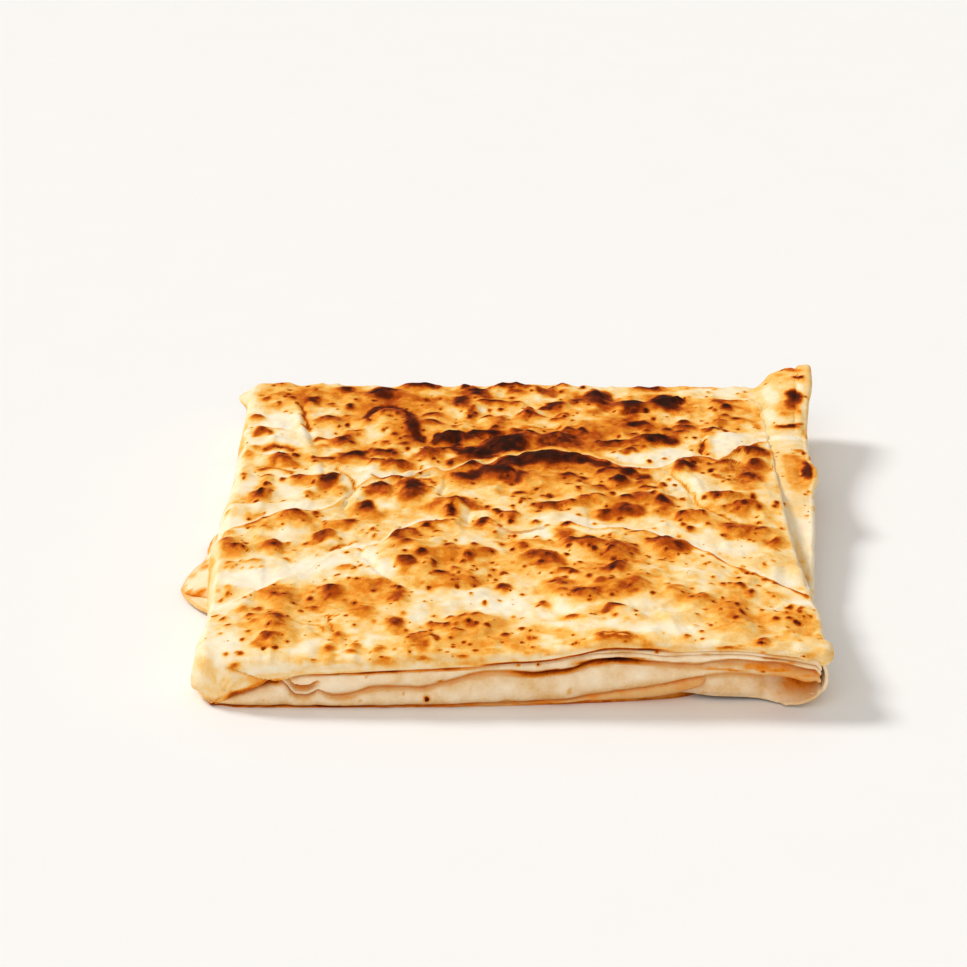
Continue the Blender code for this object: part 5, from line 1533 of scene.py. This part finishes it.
def dough_finish(chosen):
    """Baked dough: cream through gold, orange and brown to char by the `toast` of each place, which on
    the folds also holds painted shade; a duller beige on the folded sides, partly the dough's own and
    partly painted warm shade; pinholes, flour-dry grain and matt char."""
    finish = Finish("baked_dough_finish")
    place = finish.node("ShaderNodeTexCoord").outputs["Object"]
    toast = finish.attribute("toast")
    fold = finish.attribute("fold")
    broad = finish.noise(place, 9.0, 3.0)
    mottle = finish.noise(place, 2.6, 3.0, 0.6)
    fine = finish.noise(place, 0.8, 2.0, 0.6)

    uneven = (mottle - 0.5) * 0.34 + (fine - 0.5) * 0.16 + (broad - 0.5) * 0.22
    baked = toast + uneven * (0.35 + toast * (1.15 - toast) * 1.6)

    normal = finish.node("ShaderNodeNewGeometry").outputs["Normal"]
    facing = finish.node("ShaderNodeSeparateXYZ", {}, {0: normal})
    upward = finish.number(facing.outputs["Z"]).step(0.45, 0.75)
    cells = {"Vector": place, "Scale": 1 / (6.2 * MM)}
    holes = finish.node("ShaderNodeTexVoronoi", {"voronoi_dimensions": "2D"}, cells)
    colours = finish.node("ShaderNodeSeparateColor", {}, {0: holes.outputs["Color"]})
    chance = finish.number(colours.outputs[0])
    width = (chance - 0.58) * 0.20 + (chance - 0.58).step(0.0, 0.02) * 0.035 + (fine - 0.5) * 0.03
    width = width * (0.55 + toast.step(0.08, 0.4) * 0.45)
    to_hole = finish.number(holes.outputs["Distance"])
    hole = (width - to_hole).step(0.0, 0.03) * upward * (1 - fold * 0.7)
    halo = (width * 2.6 - to_hole).step(0.0, 0.14) * upward * (1 - fold)
    baked = (baked + halo * 0.14).largest(hole * (0.56 + toast * 0.6)).within()

    face, side = (
        finish.node("ShaderNodeValToRGB", {"stops": [
            (at, [255 * part for part in getattr(chosen, name)]) for name, at in stops.items()
        ]}, {0: baked}).outputs[0]
        for stops in (FACE_STOPS, SIDE_STOPS)
    )
    colour = finish.blend(fold.within(), face, side)
    cloud = finish.noise(place, 16.0, 2.0)
    tint = finish.blend(cloud, (1.0, 0.985, 0.955, 1.0), (0.96, 0.955, 0.94, 1.0))
    colour = finish.blend(1.0, colour, tint, "MULTIPLY")

    rough = 0.52 + (mottle - 0.5) * 0.22 + baked.step(0.55, 1.0) * 0.25
    height = mottle * 0.55 + fine * 0.35 + broad * 0.5 - hole * 0.8
    relief = {"Strength": 0.55, "Distance": chosen.grain_depth * MM, "Height": height}
    bump = finish.node("ShaderNodeBump", {}, relief)
    finish.shade(
        Base_Color=colour, Roughness=rough.within(0.3, 1.0), Normal=bump.outputs[0],
        Specular_IOR_Level=0.03, Subsurface_Weight=0.08, Subsurface_Radius=(1.0, 0.55, 0.25),
        Subsurface_Scale=0.0014,
    )
    return finish.material


# ---- the stage -------------------------------------------------------------------------------


def set_down(name, data, matrix=None):
    """Puts a thing in the scene under its name."""
    holder = bpy.data.objects.new(name, data)
    bpy.context.scene.collection.objects.link(holder)
    if matrix is not None:
        holder.matrix_world = matrix
    return holder


def soft_sun(name, from_place, strength, spread, colour):
    """An even light that comes from the direction of from_place, with soft shadows."""
    lamp = bpy.data.lights.new(name, "SUN")
    lamp.energy = strength
    lamp.angle = np.radians(spread)
    lamp.color = colour
    turn = (-Vector(from_place)).to_track_quat("-Z", "Y").to_matrix().to_4x4()
    set_down(name, lamp, Matrix.Translation(from_place) @ turn)


def camera():
    lens = bpy.data.cameras.new("camera")
    lens.lens = EYE_LENS
    lens.sensor_width = 36.0
    pitch = Matrix.Rotation(np.radians(90 - EYE_PITCH), 4, "X")
    tilt = Matrix.Rotation(np.radians(EYE_ROLL), 4, "Z")
    place = Matrix.Translation(PLAN_ZERO + Vector(EYE) * MM)
    bpy.context.scene.camera = set_down("camera", lens, place @ pitch @ tilt)


def floor(tone, reach=6.0):
    finish = Finish("pale_floor")
    place = finish.node("ShaderNodeTexCoord").outputs["Object"]
    pale, darker = ((value, value, value, 1) for value in (tone, tone * 0.985))
    colour = finish.blend(finish.noise(place, 30.0), pale, darker)
    finish.shade(Base_Color=colour, Roughness=0.8, Specular_IOR_Level=0.2)
    mesh = bpy.data.meshes.new("floor")
    corners = [(-reach, -reach, 0), (reach, -reach, 0), (reach, reach, 0), (-reach, reach, 0)]
    mesh.from_pydata(corners, [], [(0, 1, 2, 3)])
    mesh.materials.append(finish.material)
    holder = set_down("floor", mesh)


# ---- settings, operators and panel ------------------------------------------------------------


def colour_property(name, description, screen):
    return bpy.props.FloatVectorProperty(
        name=name, description=description, subtype="COLOR_GAMMA", size=3, min=0.0, max=1.0,
        default=tuple(c / 255 for c in screen),
    )


def amount_property(name, description, default, **more):
    return bpy.props.FloatProperty(name=name, description=description, default=default, min=0.0, **more)


class DoughSettings(bpy.types.PropertyGroup):
    raw: colour_property("Raw", "Dough that no heat has coloured", (255, 246, 226))
    cream: colour_property("Cream", "Palest baked dough", (254, 236, 200))
    gold: colour_property("Gold", "Evenly golden dough", (253, 216, 148))
    amber: colour_property("Amber", "Start of the browned spots", (250, 188, 88))
    orange: colour_property("Orange", "Orange rim of the browned spots", (234, 142, 36))
    brown: colour_property("Brown", "Middle of the browned spots", (186, 78, 10))
    dark: colour_property("Dark", "Nearly charred spots", (104, 36, 8))
    char: colour_property("Char", "Charred spots", (50, 24, 16))
    # The folded sides' colours are a little darker and warmer than the face's: partly the dough's own, partly
    # painted warm shade.
    side: colour_property("Side", "Pale folded sides", (254, 236, 207))
    side_gold: colour_property("Side gold", "Golden folded sides", (232, 188, 126))
    grain_depth: amount_property("Grain depth", "Depth of the dough's fine grain, in millimetres", 0.5)


class StageSettings(bpy.types.PropertyGroup):
    tone: amount_property("Floor tone", "How pale the floor is", 0.93, max=1.0, subtype="FACTOR")
    key_strength: amount_property("Key light", "Strength of the light from the back left", 1.95)
    fill_strength: amount_property("Fill light", "Strength of the soft light from the front", 0.88)
    sky: amount_property("Surroundings", "Strength of the even light from all round", 0.46)


def dough():
    """The dough's material, made once."""
    made = bpy.data.materials.get("baked_dough_finish")
    return made or dough_finish(bpy.context.scene.gozleme_dough)


class GOZLEME_OT_upper_sheet(bpy.types.Operator):
    """Make the baked upper sheet in two halves: front and middle leaves, and the back"""

    bl_idname = "gozleme.upper_sheet"
    bl_label = "Upper sheet"

    def execute(self, context):
        upper_sheet("back", *BACK_GRID, dough())
        upper_sheet("front", *FRONT_GRID, dough())
        return {"FINISHED"}


class GOZLEME_OT_lower_folds(bpy.types.Operator):
    """Make the folded layers under the upper sheet, and the base"""

    bl_idname = "gozleme.lower_folds"
    bl_label = "Lower folds"

    def execute(self, context):
        lower_folds(dough())
        underside(dough())
        under_layer(dough())
        return {"FINISHED"}


class GOZLEME_OT_side_strip(bpy.types.Operator):
    """Make the strip folded over on the right, and the thin edge inside it"""

    bl_idname = "gozleme.side_strip"
    bl_label = "Side strip"

    def execute(self, context):
        side_strip(dough())
        right_hem(dough())
        return {"FINISHED"}


class GOZLEME_OT_folded_ends(bpy.types.Operator):
    """Make the small folded ends: the left flap and the corner cuff"""

    bl_idname = "gozleme.folded_ends"
    bl_label = "Folded ends"

    def execute(self, context):
        left_flap(dough())
        corner_cuff(dough())
        return {"FINISHED"}


class GOZLEME_OT_stage(bpy.types.Operator):
    """Set the floor, the lights and the camera"""

    bl_idname = "gozleme.stage"
    bl_label = "Stage"

    def execute(self, context):
        scene = context.scene
        settings = scene.gozleme_stage
        camera()
        floor(settings.tone)
        scene.world = bpy.data.worlds.new("surroundings")
        scene.world.use_nodes = True
        sky = scene.world.node_tree.nodes["Background"].inputs
        sky[0].default_value = (1.0, 0.97, 0.93, 1.0)
        sky[1].default_value = settings.sky
        soft_sun("key", (-1.0, 0.5, 1.0), settings.key_strength, 16.0, (1.0, 0.985, 0.96))
        soft_sun("fill", (-0.2, -1.0, 0.85), settings.fill_strength, 50.0, (1.0, 0.96, 0.90))
        scene.view_settings.view_transform = "Standard"
        return {"FINISHED"}


class GOZLEME_PT_panel(bpy.types.Panel):
    """Lists the steps that build the gozleme, with its colours and light"""

    bl_idname = "GOZLEME_PT_panel"
    bl_label = "Gozleme"
    bl_space_type = "VIEW_3D"
    bl_region_type = "UI"
    bl_category = "Gozleme"

    def draw(self, context):
        layout = self.layout
        for settings in (context.scene.gozleme_dough, context.scene.gozleme_stage):
            for name in settings.bl_rna.properties.keys():
                if name not in ("rna_type", "name"):
                    layout.prop(settings, name)
        for step in STEPS:
            layout.operator(step.bl_idname)


STEPS = (
    GOZLEME_OT_stage,
    GOZLEME_OT_upper_sheet,
    GOZLEME_OT_lower_folds,
    GOZLEME_OT_side_strip,
    GOZLEME_OT_folded_ends,
)
CLASSES = (DoughSettings, StageSettings, *STEPS, GOZLEME_PT_panel)


def register():
    for item in CLASSES:
        bpy.utils.register_class(item)
    bpy.types.Scene.gozleme_dough = bpy.props.PointerProperty(type=DoughSettings)
    bpy.types.Scene.gozleme_stage = bpy.props.PointerProperty(type=StageSettings)


def unregister():
    del bpy.types.Scene.gozleme_stage
    del bpy.types.Scene.gozleme_dough
    for item in reversed(CLASSES):
        bpy.utils.unregister_class(item)


def main():
    register()
    bpy.ops.gozleme.stage()
    bpy.ops.gozleme.upper_sheet()
    bpy.ops.gozleme.lower_folds()
    bpy.ops.gozleme.side_strip()
    bpy.ops.gozleme.folded_ends()


if __name__ == "__main__":
    main()
